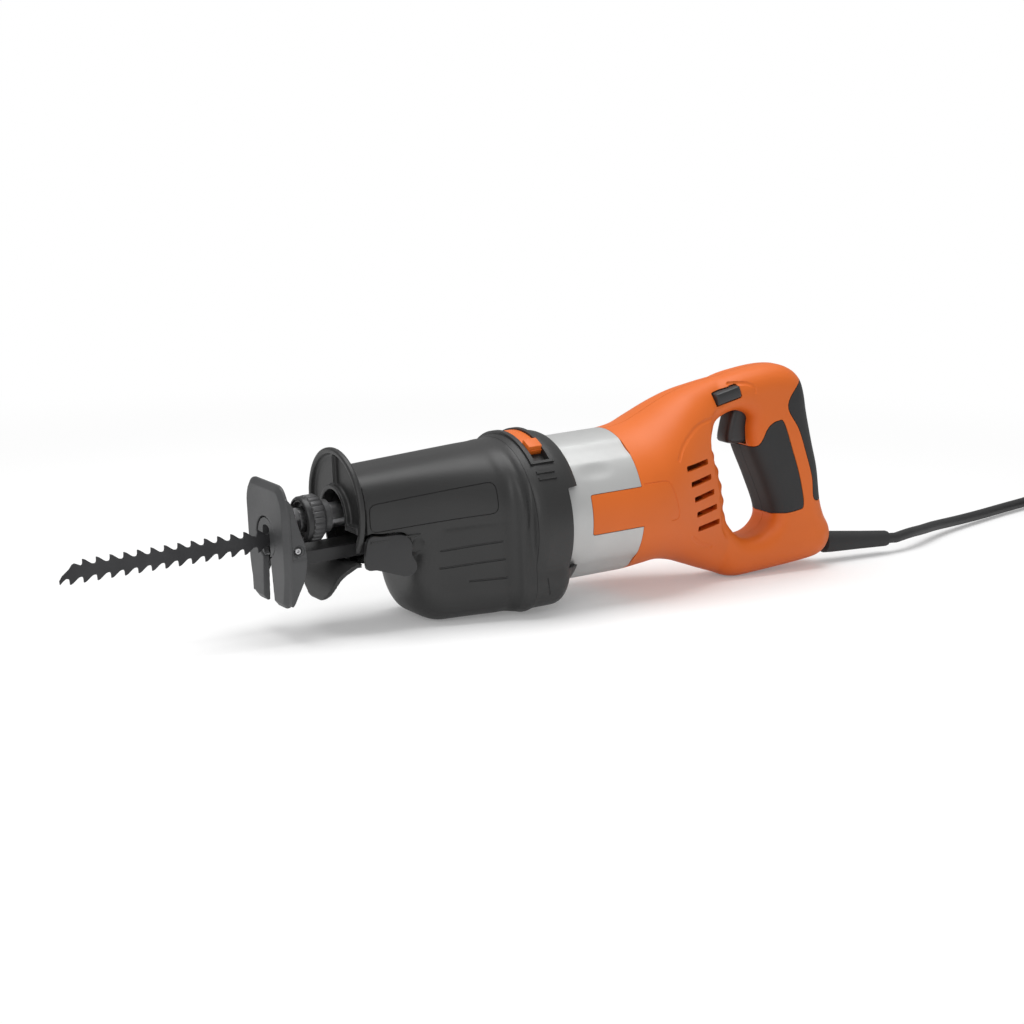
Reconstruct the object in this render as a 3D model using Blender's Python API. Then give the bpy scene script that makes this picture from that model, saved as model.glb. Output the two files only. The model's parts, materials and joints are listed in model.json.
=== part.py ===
"""A corded reciprocating saw as an assembly of separate pieces.

Everything is modelled in the saw's own frame: the motor axis is the X axis, the blade points
along -X, +Z is up and the saw's left side is at -Y. One empty then tips that frame nose down,
so that the chin of the gear casing and the heel of the handle both stand on the plane z = 0.
"""
from math import cos, hypot, pi, radians, sin

import bmesh
import bpy
from mathutils import Matrix, Vector

MM = 0.001

# Fits
GAP = 0.3 * MM
RUN = 0.5 * MM

# Motor, on the X axis
MOTOR_RADIUS = 48.0 * MM
MOTOR_WALL = 3.0 * MM
MOTOR_FRONT = -52.0 * MM
SEAM_X = 8.5 * MM
SPIGOT_LENGTH = 26.0 * MM
SPIGOT_ROOM = 3.0 * MM
BODY_SCREW_IN = 22.0 * MM
STATOR_LENGTH = 40.0 * MM
STATOR_START = -37.0 * MM
STATOR_BORE = 27.0 * MM
ARMATURE_SLOTS = 12
SHAFT_RADIUS = 5.0 * MM
COMMUTATOR_RADIUS = 13.0 * MM
COMMUTATOR_START = 9.0 * MM
COMMUTATOR_LENGTH = 14.0 * MM
BEARING_WIDTH = 8.0 * MM
BEARING_RADIUS = 10.0 * MM
FAN_ROOM = 6.0 * MM
FAN_WIDTH = 8.0 * MM
FAN_BLADES = 9
BRUSH_SIDE = 8.0 * MM
BRUSH_ROOM = 9.7 * MM
HOLDER_WALL = 2.0 * MM
BRIDGE_WIDTH = 7.0 * MM
TONGUE_FRONT = -30.5 * MM
TONGUE_TOP = 15.5 * MM
TONGUE_BOTTOM = -10.5 * MM

# Gear train and plunger
PLUNGER_Z = 20.0 * MM
PLUNGER_RADIUS = 8.0 * MM
PLUNGER_FRONT = -219.0 * MM
STROKE = 20.0 * MM
BUSH_WALL = 3.0 * MM
BUSH_LENGTH = 12.0 * MM
FRAME_FRONT = -160.0 * MM
FRAME_WALL = 8.0 * MM
FRAME_HALF_WIDTH = 19.0 * MM
FRAME_WALL_RADIUS = 34.0 * MM
REAR_WALL_FRONT = -86.0 * MM
REAR_WALL_BACK = -62.0 * MM
FRAME_FLOOR = -34.0 * MM
FLOOR_THICKNESS = 4.0 * MM
FRAME_STEP = 1.5 * MM
FRAME_RIM = 6.0 * MM
GEAR_X = -115.0 * MM
GEAR_RADIUS = 24.0 * MM
GEAR_TEETH = 36
GEAR_THICKNESS = 8.0 * MM
TOOTH_HEIGHT = 3.5 * MM
PINION_TEETH = 9
PINION_RADIUS = 6.5 * MM
PINION_LENGTH = 9.0 * MM
POST_RADIUS = 4.5 * MM
CRANK_PIN_RADIUS = 4.0 * MM
YOKE_HALF_WIDTH = 18.0 * MM
YOKE_LENGTH = 15.0 * MM
YOKE_DROP = 5.0 * MM

# Blade and clamp
BLADE_TIP = -376.0 * MM
BLADE_Z = 10.8 * MM
BLADE_WIDTH = 14.6 * MM
BLADE_THICKNESS = 1.6 * MM
BLADE_START = -222.0 * MM
TOOTH_PITCH = 8.8 * MM
TOOTH_DEPTH = 3.6 * MM
TEETH_ON_AN_EDGE = 16
TANG_HEIGHT = 7.0 * MM
TANG_LENGTH = 20.0 * MM
TANG_TOP_BELOW_AXIS = 0.2 * MM
COLLAR_RADIUS = 15.0 * MM
COLLAR_FRONT = -216.0 * MM
COLLAR_LENGTH = 19.0 * MM
COLLAR_FLUTES = 18
FLUTE_DEPTH = 0.8 * MM
RETAINER_RADIUS = 12.3 * MM
CLAMP_PIN_RADIUS = 2.0 * MM

# Shoe
SHOE_FACE = -240.5 * MM
SHOE_THICKNESS = 4.5 * MM
SHOE_TOP = 48.0 * MM
SHOE_BOTTOM = -30.0 * MM
SHOE_WAIST = -4.5 * MM
SHOE_HALF_TOP = 23.5 * MM
SHOE_HALF_WIDTH = 26.5 * MM
SHOE_HALF_BOTTOM = 20.5 * MM
SHOE_HOLE_RADIUS = 13.2 * MM
SHOE_HOLE_Z = 13.0 * MM
SHOE_SLOT = 8.5 * MM
CHEEK_THICKNESS = 4.0 * MM
CHEEK_INNER = 20.8 * MM
PIVOT_X = -231.0 * MM
PIVOT_Z = 7.0 * MM
PIVOT_PIN_RADIUS = 2.2 * MM
BRACKET_REAR = -136.0 * MM
BRACKET_HALF_WIDTH = 12.0 * MM
BRACKET_TOP = 2.0 * MM
BRACKET_THICKNESS = 8.0 * MM
EAR_THICKNESS = 4.0 * MM
EAR_REACH = 3.5 * MM

# Finger guard
GUARD_RADIUS = 39.5 * MM
GUARD_X = -189.5 * MM
GUARD_THICKNESS = 3.5 * MM
GUARD_RIM_WIDTH = 3.0 * MM
GUARD_RIM_HEIGHT = 2.5 * MM
OPENING_HALF_WIDTH = 16.0 * MM
OPENING_BOTTOM = -9.0 * MM
LIP_FRONT = -203.0 * MM
LIP_BOTTOM = -33.0 * MM
LIP_HALF_WIDTH = 24.0 * MM

# Gear casing
CASING_REAR = -74.0 * MM
CASING_WALL = 4.0 * MM
NOSE_HALF_WIDTH = 31.0 * MM
NOSE_TOP = 47.5 * MM
NOSE_BOTTOM = -14.5 * MM
NOSE_SQUARENESS = 3.2
NOSE_TAPER = 0.3
NOSE_END = -64.0 * MM
CHIN_FRONT = -148.0 * MM
CHIN_BOTTOM = -57.0 * MM
CHIN_TOP = 11.5 * MM
CHIN_HALF_WIDTH = 35.5 * MM
CHIN_ROUND = 16.0 * MM
CHIN_CORNER = 20.0 * MM

# Collar band and selector
BAND_WALL = 7.2 * MM
BAND_STEP = 2.5 * MM
BAND_REAR = -46.5 * MM
BAND_TAB = 5.0 * MM
SLOT_FRONT = -67.0 * MM
SLOT_WIDTH = 11.0 * MM
SLOT_FROM = radians(-42.0)
SLOT_TO = radians(44.0)
SLIDER_FROM = radians(-12.0)
SLIDER_TO = radians(34.0)
SLIDER_TAB = 3.0 * MM
SLOT_DEPTH = 4.0 * MM

# Shoe lever on the left side of the nose
LEVER_FRONT = -181.0 * MM
LEVER_REAR = -152.0 * MM
LEVER_PIN_Z = 6.0 * MM
LEVER_BOTTOM = -8.0 * MM
LEVER_FRONT_BOTTOM = -6.0 * MM
LEVER_PROUD = 2.0 * MM
LEVER_DEPTH = 2.0 * MM
LEVER_PIN_RADIUS = 0.8 * MM
LEVER_PIN_HOLD = 2.5 * MM
KNUCKLE_RADIUS = 1.8 * MM
LUG_DEPTH = 4.5 * MM

# Handle
HANDLE_HALF = 19.0 * MM
HANDLE_ROUND = 15.0 * MM
HOLE_ROUND = 10.0 * MM
SHELL_WALL = 3.0 * MM
HANDLE_WALL = 6.0 * MM
CAVITY_HALF = 11.0 * MM
CAVITY_ROUND = 2.0 * MM
GRIP_THICKNESS = 2.5 * MM
VENT_LENGTH = 26.0 * MM
VENT_HEIGHT = 3.4 * MM
VENT_PITCH = 10.2 * MM
VENT_COUNT = 5
VENT_TILT = radians(8.0)
VENT_X = 68.5 * MM
VENT_Z = -2.0 * MM
VENT_LEAN = 1.4 * MM

# Trigger, switch and lock button
TRIGGER_HALF_WIDTH = 8.0 * MM
TRIGGER_PIN = (119.0 * MM, 50.0 * MM)
TRIGGER_PIN_RADIUS = 1.5 * MM
TRIGGER_PIN_HOLD = 2.0 * MM
SWITCH_LENGTH = 20.0 * MM
TRIGGER_ROOM = 6.0 * MM
SWITCH_HEIGHT = 24.0 * MM
BUTTON_X = 96.5 * MM
BUTTON_Z = 61.0 * MM
BUTTON_LENGTH = 20.0 * MM
BUTTON_HEIGHT = 8.0 * MM
BUTTON_PROUD = 1.2 * MM
BUTTON_DEPTH = 9.0 * MM
BUTTON_TRAVEL = 2.5 * MM
BUTTON_TILT = radians(11.0)

# Screws
SCREW_RADIUS = 2.0 * MM
SCREW_HEAD_RADIUS = 3.6 * MM
SCREW_HEAD = 2.5 * MM
BOSS_RADIUS = 5.0 * MM
SCREW_REACH = 12.0 * MM

# Mains lead
CORD_DIAMETER = 7.5 * MM
RELIEF_START = (172.0 * MM, -56.5 * MM)
RELIEF_LENGTH = 72.0 * MM
RELIEF_NECK_RADIUS = 5.2 * MM
RELIEF_NECK_LENGTH = 15.0 * MM
RELIEF_BASE_RADIUS = 7.4 * MM
RELIEF_TIP_RADIUS = 5.6 * MM
RELIEF_DROOP = radians(6.3)
COIL_CENTER = (592.0 * MM, 30.0 * MM)
COIL_INNER_RADIUS = 30.0 * MM
COIL_STEP = 8.3 * MM
COIL_LAYER = 8.2 * MM
COIL_TURNS = 6.25
POINTS_PER_LOOP = 21
COIL_TAIL = 46.0 * MM
COIL_FLOOR = 1.4 * MM
TIE_THICKNESS = 0.8 * MM
TIE_WIDTH = 10.0 * MM
TIE_SLACK = 1.0 * MM
TIE_ANGLE = radians(-130.0)
PLUG_LENGTH = 46.0 * MM
PLUG_HALF_WIDTH = 17.5 * MM
PLUG_HALF_HEIGHT = 12.5 * MM
PLUG_NECK_RADIUS = 7.0 * MM
PLUG_SOCKET = 8.0 * MM
PLUG_PIN_RADIUS = 2.4 * MM
PLUG_PIN_LENGTH = 19.0 * MM
PLUG_PIN_SPACING = 19.0 * MM

# Outlines in the X-Z plane, drawn by hand in millimetres and smoothed where they are round
HANDLE_OUTLINE = [
    (70, 66.5), (96, 71.4), (125, 75.3), (144, 75.2), (155, 71.5), (162.5, 64.5), (166, 54), (168, 40),
    (172, 19), (176, 0), (178, -22), (181, -34), (185, -42), (186, -50), (183, -57.5), (177, -63),
    (164, -65.8), (118, -68.2), (103, -68.0), (86, -62), (70, -55), (62, -20), (62, 35),
]
HOLE_OUTLINE = [
    (91, 44), (87.5, 37), (86.4, 28.5), (88.5, 18.5), (91.5, 8.5), (94.5, -7), (95.3, -20), (98, -29),
    (108, -40), (120, -42), (130.5, -38), (135.6, -28), (128, -5), (118, 20), (116.5, 34), (117, 44),
    (105, 48.5),
]
TRIGGER_OUTLINE = [
    (108, 47), (104.6, 37), (102.8, 28.5), (105, 25), (117.6, 24), (122.7, 27.5), (124.6, 38), (124.6, 50),
    (121, 54), (112, 53.5),
]
GRIP_FRONT_OUTLINE = [
    (128, 33), (132, 36.5), (137, 38), (142, 36), (148.7, 15.4), (154, -3), (157, -23), (152, -26.2),
    (138, -26.8), (128, -25), (106, 21.5), (115.4, 21.8), (122, 23),
]
GRIP_REAR_OUTLINE = [
    (158, 62), (178, 62), (190, -22.5), (174, -22.3), (166.5, -20), (165.4, -5), (160.3, 13.5), (154.7, 30.4),
    (146, 48),
]
# A cheek of the shoe, measured back from the plate's rear face
CHEEK_OUTLINE = [
    (-2.2, 42), (2.4, 36.4), (6.9, 18.1), (9.5, 11.5), (10.2, 3.3), (10, -0.2), (8.3, -10.7), (5.1, -16.4),
    (0, -26), (-2.2, -28),
]
# The orange body behind the seam: place, how its half width goes from the motor's radius (1) to the
# grip's half width (0), how far its top and bottom lie outside that radius, and how square it is
BODY_STATIONS = [
    (24, 0.9759, 2.2, -1.5, 2.05), (37, 0.9138, 7.2, -2.6, 2.15), (52, 0.7586, 13.7, 0.2, 2.25),
    (66, 0.5345, 18.5, 5.6, 2.4), (80, 0.2931, 21.2, 11.4, 2.6), (94, 0.0862, 23.3, 16.6, 2.8),
    (106, -0.0862, 24.5, 19, 3.0),
]
# Screws: place in the X-Z plane, and for the handle how far out the right-hand surface is there
HANDLE_SCREWS = [(150, 62, 18), (161, -52, 18), (113, -56, 18)]
BODY_SCREW = (62, 50)
CASING_SCREWS = [(-140, 40), (-100, 42), (-128, -41), (-92, -45)]
# The lead on its way from the strain relief to the coil, in the frame that stands on the floor
LEAD_ROUTE = [
    (365, 5, 11.2), (382, 13, 10.2), (402, 24, 8.8), (421, 33, 7.4), (442, 41.5, 6.3),
    (470, 52, 5.5), (499, 62.5, 5.2), (530, 72.5, 5.2), (556, 81.5, 5.2),
]


def mm_points(outline):
    return [tuple(value * MM for value in point) for point in outline]


def clear_scene():
    for item in list(bpy.data.objects):
        bpy.data.objects.remove(item, do_unlink=True)


# Basic solids

FAR = 0.5
TIGHTEST = 0.85


def solid(name, points, faces):
    mesh = bpy.data.meshes.new(name)
    mesh.from_pydata([tuple(point) for point in points], [], faces)
    work = bmesh.new()
    work.from_mesh(mesh)
    bmesh.ops.recalc_face_normals(work, faces=work.faces)
    work.to_mesh(mesh)
    work.free()
    item = bpy.data.objects.new(name, mesh)
    bpy.context.scene.collection.objects.link(item)
    return item


def loft(name, rings, hollow=False):
    """Skin a row of rings with equal counts; a hollow one runs back into its first ring."""
    count = len(rings[0])
    points = [point for ring in rings for point in ring]
    faces = []
    last = len(rings) if hollow else len(rings) - 1
    for row in range(last):
        start, following = row * count, (row + 1) % len(rings) * count
        for step in range(count):
            after = (step + 1) % count
            faces.append((start + step, start + after, following + after, following + step))
    if not hollow:
        faces.append(tuple(range(count)))
        faces.append(tuple(range(len(points) - count, len(points))))
    return solid(name, points, faces)


def ring_at(axis, along, radius, count, center=(0.0, 0.0)):
    """A circle square to an axis; center gives its place on the two other axes, in order."""
    first, second = center
    turns = [2 * pi * (step + 0.5) / count for step in range(count)]
    flat = [(first + radius * sin(turn), second + radius * cos(turn)) for turn in turns]
    if axis == "X":
        return [(along, u, v) for u, v in flat]
    if axis == "Y":
        return [(u, along, v) for u, v in flat]
    return [(u, v, along) for u, v in flat]


def turned(name, axis, profile, count=32, center=(0.0, 0.0), hollow=False):
    return loft(name, [ring_at(axis, along, radius, count, center) for along, radius in profile], hollow)


def rod(name, axis, start, end, radius, count=24, center=(0.0, 0.0)):
    return turned(name, axis, [(start, radius), (end, radius)], count, center)


def tube(name, axis, start, end, outer, inner, count=32, center=(0.0, 0.0)):
    profile = [(start, outer), (end, outer), (end, inner), (start, inner)]
    return turned(name, axis, profile, count, center, hollow=True)


def box(name, low, high):
    ring = [(low[1], low[2]), (high[1], low[2]), (high[1], high[2]), (low[1], high[2])]
    return loft(name, [[(x, y, z) for y, z in ring] for x in (low[0], high[0])])


def prism(name, outline, start, end):
    """An X-Z outline drawn out along Y."""
    return loft(name, [[(x, y, z) for x, z in outline] for y in (start, end)])


def smooth_loop(points, steps=2):
    """More points on a closed smooth curve through the given ones."""
    loop = []
    count = len(points)
    for index in range(count):
        a, b, c, d = (Vector(points[(index + k - 1) % count]) for k in range(4))
        for step in range(steps):
            t = step / steps
            loop.append(tuple(0.5 * (2 * b + (c - a) * t + (2 * a - 5 * b + 4 * c - d) * t ** 2
                                     + (3 * b - a - 3 * c + d) * t ** 3)))
    return loop


def room_inside(outline, index, inward):
    """The radius of the largest circle inside an outline that touches it at one point."""
    here = Vector(outline[index])
    radius = FAR
    for other in outline:
        reach = Vector(other) - here
        depth = reach.dot(inward)
        if depth > 0:
            radius = min(radius, reach.length_squared / (2 * depth))
    return radius


def shrink(outline, distance):
    """Move a closed outline inwards by a distance, or outwards by a negative one.

    Tight corners move in by less, so that the outline never crosses itself.
    """
    count = len(outline)
    area = sum(outline[i - 1][0] * outline[i][1] - outline[i][0] * outline[i - 1][1] for i in range(count))
    side = 1.0 if area > 0 else -1.0
    moved = []
    for index in range(count):
        before = Vector(outline[index]) - Vector(outline[index - 1])
        after = Vector(outline[(index + 1) % count]) - Vector(outline[index])
        normals = [side * Vector((-edge.y, edge.x)).normalized() for edge in (before, after)]
        middle = (normals[0] + normals[1]).normalized()
        reach = distance / max(0.5, middle.dot(normals[0]))
        if distance > 0:
            reach = min(reach, TIGHTEST * room_inside(outline, index, middle))
        moved.append(tuple(Vector(outline[index]) + middle * reach))
    return moved


ROUND_STEPS = 2


def plate(name, outline, half, rounding, inset=0.0):
    """An X-Z outline drawn out to both sides of the middle plane, with rounded edges."""
    rings = []
    edge = [pi / 2 * step / ROUND_STEPS for step in range(ROUND_STEPS + 1)]
    layers = [(-1, angle) for angle in reversed(edge)] + [(1, angle) for angle in edge]
    for side, angle in layers:
        y = side * (half - inset - rounding + rounding * sin(angle))
        ring = shrink(outline, inset + rounding * (1 - cos(angle)))
        rings.append([(x, y, z) for x, z in ring])
    return loft(name, rings)


def flared_hole(name, outline, half, rounding, inset=0.0):
    """The cutter for a hole whose rims are rounded on both faces."""
    rings = []
    edge = [pi / 2 * step / ROUND_STEPS for step in range(ROUND_STEPS + 1)]
    layers = [(-1, angle) for angle in reversed(edge)] + [(1, angle) for angle in edge]
    beyond = MOTOR_RADIUS
    for number, (side, angle) in enumerate(layers):
        ring = shrink(outline, -inset - rounding * (1 - cos(angle)))
        level = side * (half - inset - rounding + rounding * sin(angle))
        if number == 0:
            rings.append([(x, -beyond, z) for x, z in ring])
        rings.append([(x, level, z) for x, z in ring])
    rings.append([(x, beyond, z) for x, _, z in rings[-1]])
    return loft(name, rings)


OUTER_SIDES = 28
INNER_SIDES = 24


def section(x, half_width, top, bottom, power, count):
    """A ring square to X: an ellipse at power 2, squarer above that."""
    ring = []
    middle, half_height = (top + bottom) / 2, (top - bottom) / 2
    for step in range(count):
        turn = 2 * pi * (step + 0.5) / count
        u, v = sin(turn), cos(turn)
        y = half_width * abs(u) ** (2 / power) * (1 if u > 0 else -1)
        z = half_height * abs(v) ** (2 / power) * (1 if v > 0 else -1)
        ring.append((x, y, middle + z))
    return ring


def arc_block(name, x_range, r_range, turn_range, steps=8):
    """A curved block round the X axis; turns run from +Z towards the left side."""
    rings = []
    for step in range(steps + 1):
        turn = turn_range[0] + (turn_range[1] - turn_range[0]) * step / steps
        corners = [(x_range[0], r_range[0]), (x_range[1], r_range[0])]
        corners += [(x_range[1], r_range[1]), (x_range[0], r_range[1])]
        rings.append([(x, -r * sin(turn), r * cos(turn)) for x, r in corners])
    return loft(name, rings)


# Joining and cutting

def combine(target, other, operation, keep=False):
    step = target.modifiers.new("combine", "BOOLEAN")
    step.operation = operation
    step.solver = "EXACT"
    step.object = other
    bpy.context.view_layer.update()
    shape = target.evaluated_get(bpy.context.evaluated_depsgraph_get())
    mesh = bpy.data.meshes.new_from_object(shape)
    target.modifiers.clear()
    target.data = mesh
    if not keep:
        bpy.data.objects.remove(other, do_unlink=True)
    return target


def join(target, *others):
    for other in others:
        combine(target, other, "UNION")
    return target


def cut(target, *others):
    for other in others:
        combine(target, other, "DIFFERENCE")
    return target


def common(target, other):
    return combine(target, other, "INTERSECT")


def twin(item, name):
    copy = item.copy()
    copy.data = item.data.copy()
    copy.name = name
    bpy.context.scene.collection.objects.link(copy)
    return copy


def halves(whole, left_name, right_name):
    """Part a whole shell along the middle plane into its left and right halves."""
    right = twin(whole, right_name)
    cut(whole, box("cutter", (-FAR, -GAP / 2, -FAR), (FAR, FAR, FAR)))
    cut(right, box("cutter", (-FAR, -FAR, -FAR), (FAR, GAP / 2, FAR)))
    whole.name = left_name
    return whole, right


# Places that follow from the driving dimensions

NOSE_FRONT = GUARD_X + GUARD_THICKNESS + GAP
MOTOR_INNER = MOTOR_RADIUS - MOTOR_WALL
BAND_RADIUS = MOTOR_RADIUS + GAP + BAND_WALL
CASING_REAR_RADIUS = BAND_RADIUS - BAND_STEP
FRAME_SHOULDER_RADIUS = MOTOR_RADIUS - FRAME_STEP
FAN_RADIUS = MOTOR_INNER - FAN_ROOM
SPIGOT_OUTER = MOTOR_RADIUS - SHELL_WALL - SPIGOT_ROOM
SPIGOT_INNER = SPIGOT_OUTER - MOTOR_WALL
SPIGOT_END = SEAM_X + SPIGOT_LENGTH
BUSH_RADIUS = PLUNGER_RADIUS + GAP + BUSH_WALL
GEAR_TOOTH_TIP = -PINION_RADIUS - RUN
GEAR_TOP = GEAR_TOOTH_TIP - TOOTH_HEIGHT
GEAR_BOTTOM = GEAR_TOP - GEAR_THICKNESS
FLOOR_TOP = FRAME_FLOOR + FLOOR_THICKNESS
YOKE_BOTTOM = PLUNGER_Z - PLUNGER_RADIUS - YOKE_DROP
YOKE_X = GEAR_X - STROKE / 2
TANG_TOP = PLUNGER_Z - TANG_TOP_BELOW_AXIS
TANG_BOTTOM = TANG_TOP - TANG_HEIGHT
TANG_REAR = BLADE_START + TANG_LENGTH
CLAMP_PIN = (TANG_REAR - 3 * CLAMP_PIN_RADIUS, (TANG_TOP + TANG_BOTTOM) / 2)
PLUNGER_REAR = REAR_WALL_FRONT + BUSH_LENGTH - CLAMP_PIN_RADIUS
SHOE_BACK = SHOE_FACE + SHOE_THICKNESS
TRIGGER_PIN_HALF = CAVITY_HALF + TRIGGER_PIN_HOLD
BUTTON_OUT = HANDLE_HALF + BUTTON_PROUD
SWITCH_HALF_WIDTH = CAVITY_HALF - GAP


# Blade, clamp and plunger

def make_blade():
    middle = BLADE_Z
    root = BLADE_WIDTH / 2 - TOOTH_DEPTH
    run = TEETH_ON_AN_EDGE * TOOTH_PITCH
    upper, lower = [], []
    for tooth in range(-1, TEETH_ON_AN_EDGE):
        for share, height in ((0.14, 0.0), (0.24, 1.0), (0.9, 0.0)):
            place = BLADE_START - run + (tooth + share) * TOOTH_PITCH
            upper.append((place, middle + root + height * TOOTH_DEPTH))
            lower.append((place, middle - root - height * TOOTH_DEPTH))
    hump = (BLADE_TIP + TOOTH_PITCH, middle + root + TOOTH_DEPTH / 3)
    nose = [(BLADE_TIP, middle - root - TOOTH_DEPTH / 2), hump]
    lower = [point for point in lower if point[0] > BLADE_TIP + TOOTH_PITCH / 3]
    tang = [
        (BLADE_START, middle + root), (BLADE_START, TANG_TOP), (TANG_REAR, TANG_TOP),
        (TANG_REAR, TANG_BOTTOM), (BLADE_START, TANG_BOTTOM), (BLADE_START, middle - root),
    ]
    upper = [point for point in upper if point[0] > hump[0] + TOOTH_PITCH / 9]
    outline = nose + upper + tang + list(reversed(lower))
    half = BLADE_THICKNESS / 2
    blade = prism("saw_blade", outline, -half, half)
    hole = rod("cutter", "Y", -half - GAP, half + GAP, CLAMP_PIN_RADIUS + GAP, 16, CLAMP_PIN)
    return cut(blade, hole)


def make_plunger():
    center = (0.0, PLUNGER_Z)
    plunger = rod("plunger", "X", PLUNGER_FRONT, PLUNGER_REAR, PLUNGER_RADIUS, 20, center)
    yoke_low = (YOKE_X - YOKE_LENGTH / 2, -YOKE_HALF_WIDTH, YOKE_BOTTOM)
    yoke_high = (YOKE_X + YOKE_LENGTH / 2, YOKE_HALF_WIDTH, PLUNGER_Z - PLUNGER_RADIUS / 2)
    slot_half = CRANK_PIN_RADIUS + RUN
    slot_low = (YOKE_X - slot_half, -STROKE / 2 - slot_half, YOKE_BOTTOM - GAP)
    slot_high = (YOKE_X + slot_half, STROKE / 2 + slot_half, PLUNGER_Z - PLUNGER_RADIUS)
    yoke = cut(box("yoke", yoke_low, yoke_high), box("cutter", slot_low, slot_high))
    join(plunger, yoke)
    gap = BLADE_THICKNESS / 2 + GAP
    mouth_low = (PLUNGER_FRONT - RUN, -gap, TANG_BOTTOM - PLUNGER_RADIUS)
    mouth = box("cutter", mouth_low, (TANG_REAR + GAP, gap, TANG_TOP + GAP))
    reach = 2 * PLUNGER_RADIUS
    hole = rod("cutter", "Y", -reach, reach, CLAMP_PIN_RADIUS + GAP, 16, CLAMP_PIN)
    return cut(plunger, mouth, hole)


def fluted_ring(axial, radius, depth, flutes, center_z):
    ring = []
    for step in range(flutes * 2):
        turn = 2 * pi * step / (flutes * 2)
        reach = radius if step % 2 else radius - depth
        ring.append((axial, reach * sin(turn), center_z + reach * cos(turn)))
    return ring


def make_clamp():
    center = (0.0, PLUNGER_Z)
    back = COLLAR_FRONT + COLLAR_LENGTH
    chamfer = 2 * FLUTE_DEPTH
    rings = [
        fluted_ring(COLLAR_FRONT, COLLAR_RADIUS - chamfer, 0.0, COLLAR_FLUTES, PLUNGER_Z),
        fluted_ring(COLLAR_FRONT + chamfer, COLLAR_RADIUS, FLUTE_DEPTH, COLLAR_FLUTES, PLUNGER_Z),
        fluted_ring(back - chamfer, COLLAR_RADIUS, FLUTE_DEPTH, COLLAR_FLUTES, PLUNGER_Z),
        fluted_ring(back, COLLAR_RADIUS - chamfer, 0.0, COLLAR_FLUTES, PLUNGER_Z),
    ]
    collar = loft("clamp_collar", rings)
    bore = PLUNGER_RADIUS + GAP
    cut(collar, rod("cutter", "X", COLLAR_FRONT - GAP, back + GAP, bore, 20, center))
    tube("clamp_retainer", "X", PLUNGER_FRONT, COLLAR_FRONT - GAP, RETAINER_RADIUS, bore, 20, center)
    reach = (PLUNGER_RADIUS ** 2 - (PLUNGER_Z - CLAMP_PIN[1] + CLAMP_PIN_RADIUS) ** 2) ** 0.5
    rod("clamp_pin", "Y", -reach, reach, CLAMP_PIN_RADIUS, 16, CLAMP_PIN)


# Shoe

def make_shoe():
    chamfer = SHOE_THICKNESS * 0.4
    shoulder = SHOE_TOP - 3 * chamfer
    right = [
        (SHOE_HALF_TOP, SHOE_TOP), (SHOE_HALF_WIDTH, shoulder), (SHOE_HALF_WIDTH, SHOE_WAIST),
        (SHOE_HALF_BOTTOM, SHOE_BOTTOM),
    ]
    outline = right + [(-y, z) for y, z in reversed(right)]
    face = shrink(outline, chamfer)
    rings = [(SHOE_FACE, face), (SHOE_FACE + chamfer, outline), (SHOE_BACK, outline)]
    shoe = loft("shoe_plate", [[(x, y, z) for y, z in ring] for x, ring in rings])
    cheek = [(SHOE_BACK + x, z) for x, z in mm_points(CHEEK_OUTLINE)]
    outer = CHEEK_INNER + CHEEK_THICKNESS
    for side in (-1, 1):
        join(shoe, prism("cheek", cheek, side * CHEEK_INNER, side * outer))
    hole = rod("cutter", "X", SHOE_FACE - GAP, SHOE_BACK + GAP, SHOE_HOLE_RADIUS, 32, (0.0, SHOE_HOLE_Z))
    slot_low = (SHOE_FACE - GAP, -SHOE_SLOT / 2, SHOE_BOTTOM - GAP)
    slot = box("cutter", slot_low, (SHOE_BACK + GAP, SHOE_SLOT / 2, SHOE_HOLE_Z))
    pin_hole = rod("cutter", "Y", -2 * outer, 2 * outer, PIVOT_PIN_RADIUS + GAP, 20, (PIVOT_X, PIVOT_Z))
    return cut(shoe, hole, slot, pin_hole)


def make_bracket():
    bottom = BRACKET_TOP - BRACKET_THICKNESS
    back = PIVOT_X + 2 * EAR_REACH
    half = CHEEK_INNER - GAP
    bar_low = (PIVOT_X, -BRACKET_HALF_WIDTH, bottom)
    bracket = box("shoe_bracket", bar_low, (BRACKET_REAR, BRACKET_HALF_WIDTH, BRACKET_TOP))
    join(bracket, box("cross", (PIVOT_X, -half, bottom), (back, half, BRACKET_TOP)))
    ear_low, ear_high = PIVOT_Z - EAR_REACH, PIVOT_Z + EAR_REACH
    for side in (-1, 1):
        inner, outer = sorted((side * (half - EAR_THICKNESS), side * half))
        join(bracket, box("post", (PIVOT_X, inner, bottom), (back, outer, ear_high)))
        join(bracket, box("ear", (PIVOT_X - EAR_REACH, inner, ear_low), (back - RUN, outer, ear_high - RUN)))
    hole = rod("cutter", "Y", -2 * half, 2 * half, PIVOT_PIN_RADIUS + GAP, 20, (PIVOT_X, PIVOT_Z))
    cut(bracket, hole)
    outer = CHEEK_INNER + CHEEK_THICKNESS
    inner = half - EAR_THICKNESS - GAP
    for side, name in ((-1, "left"), (1, "right")):
        ends = sorted((side * inner, side * outer))
        rod(f"shoe_pivot_{name}", "Y", ends[0], ends[1], PIVOT_PIN_RADIUS, 20, (PIVOT_X, PIVOT_Z))


# Finger guard and gear casing

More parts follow.
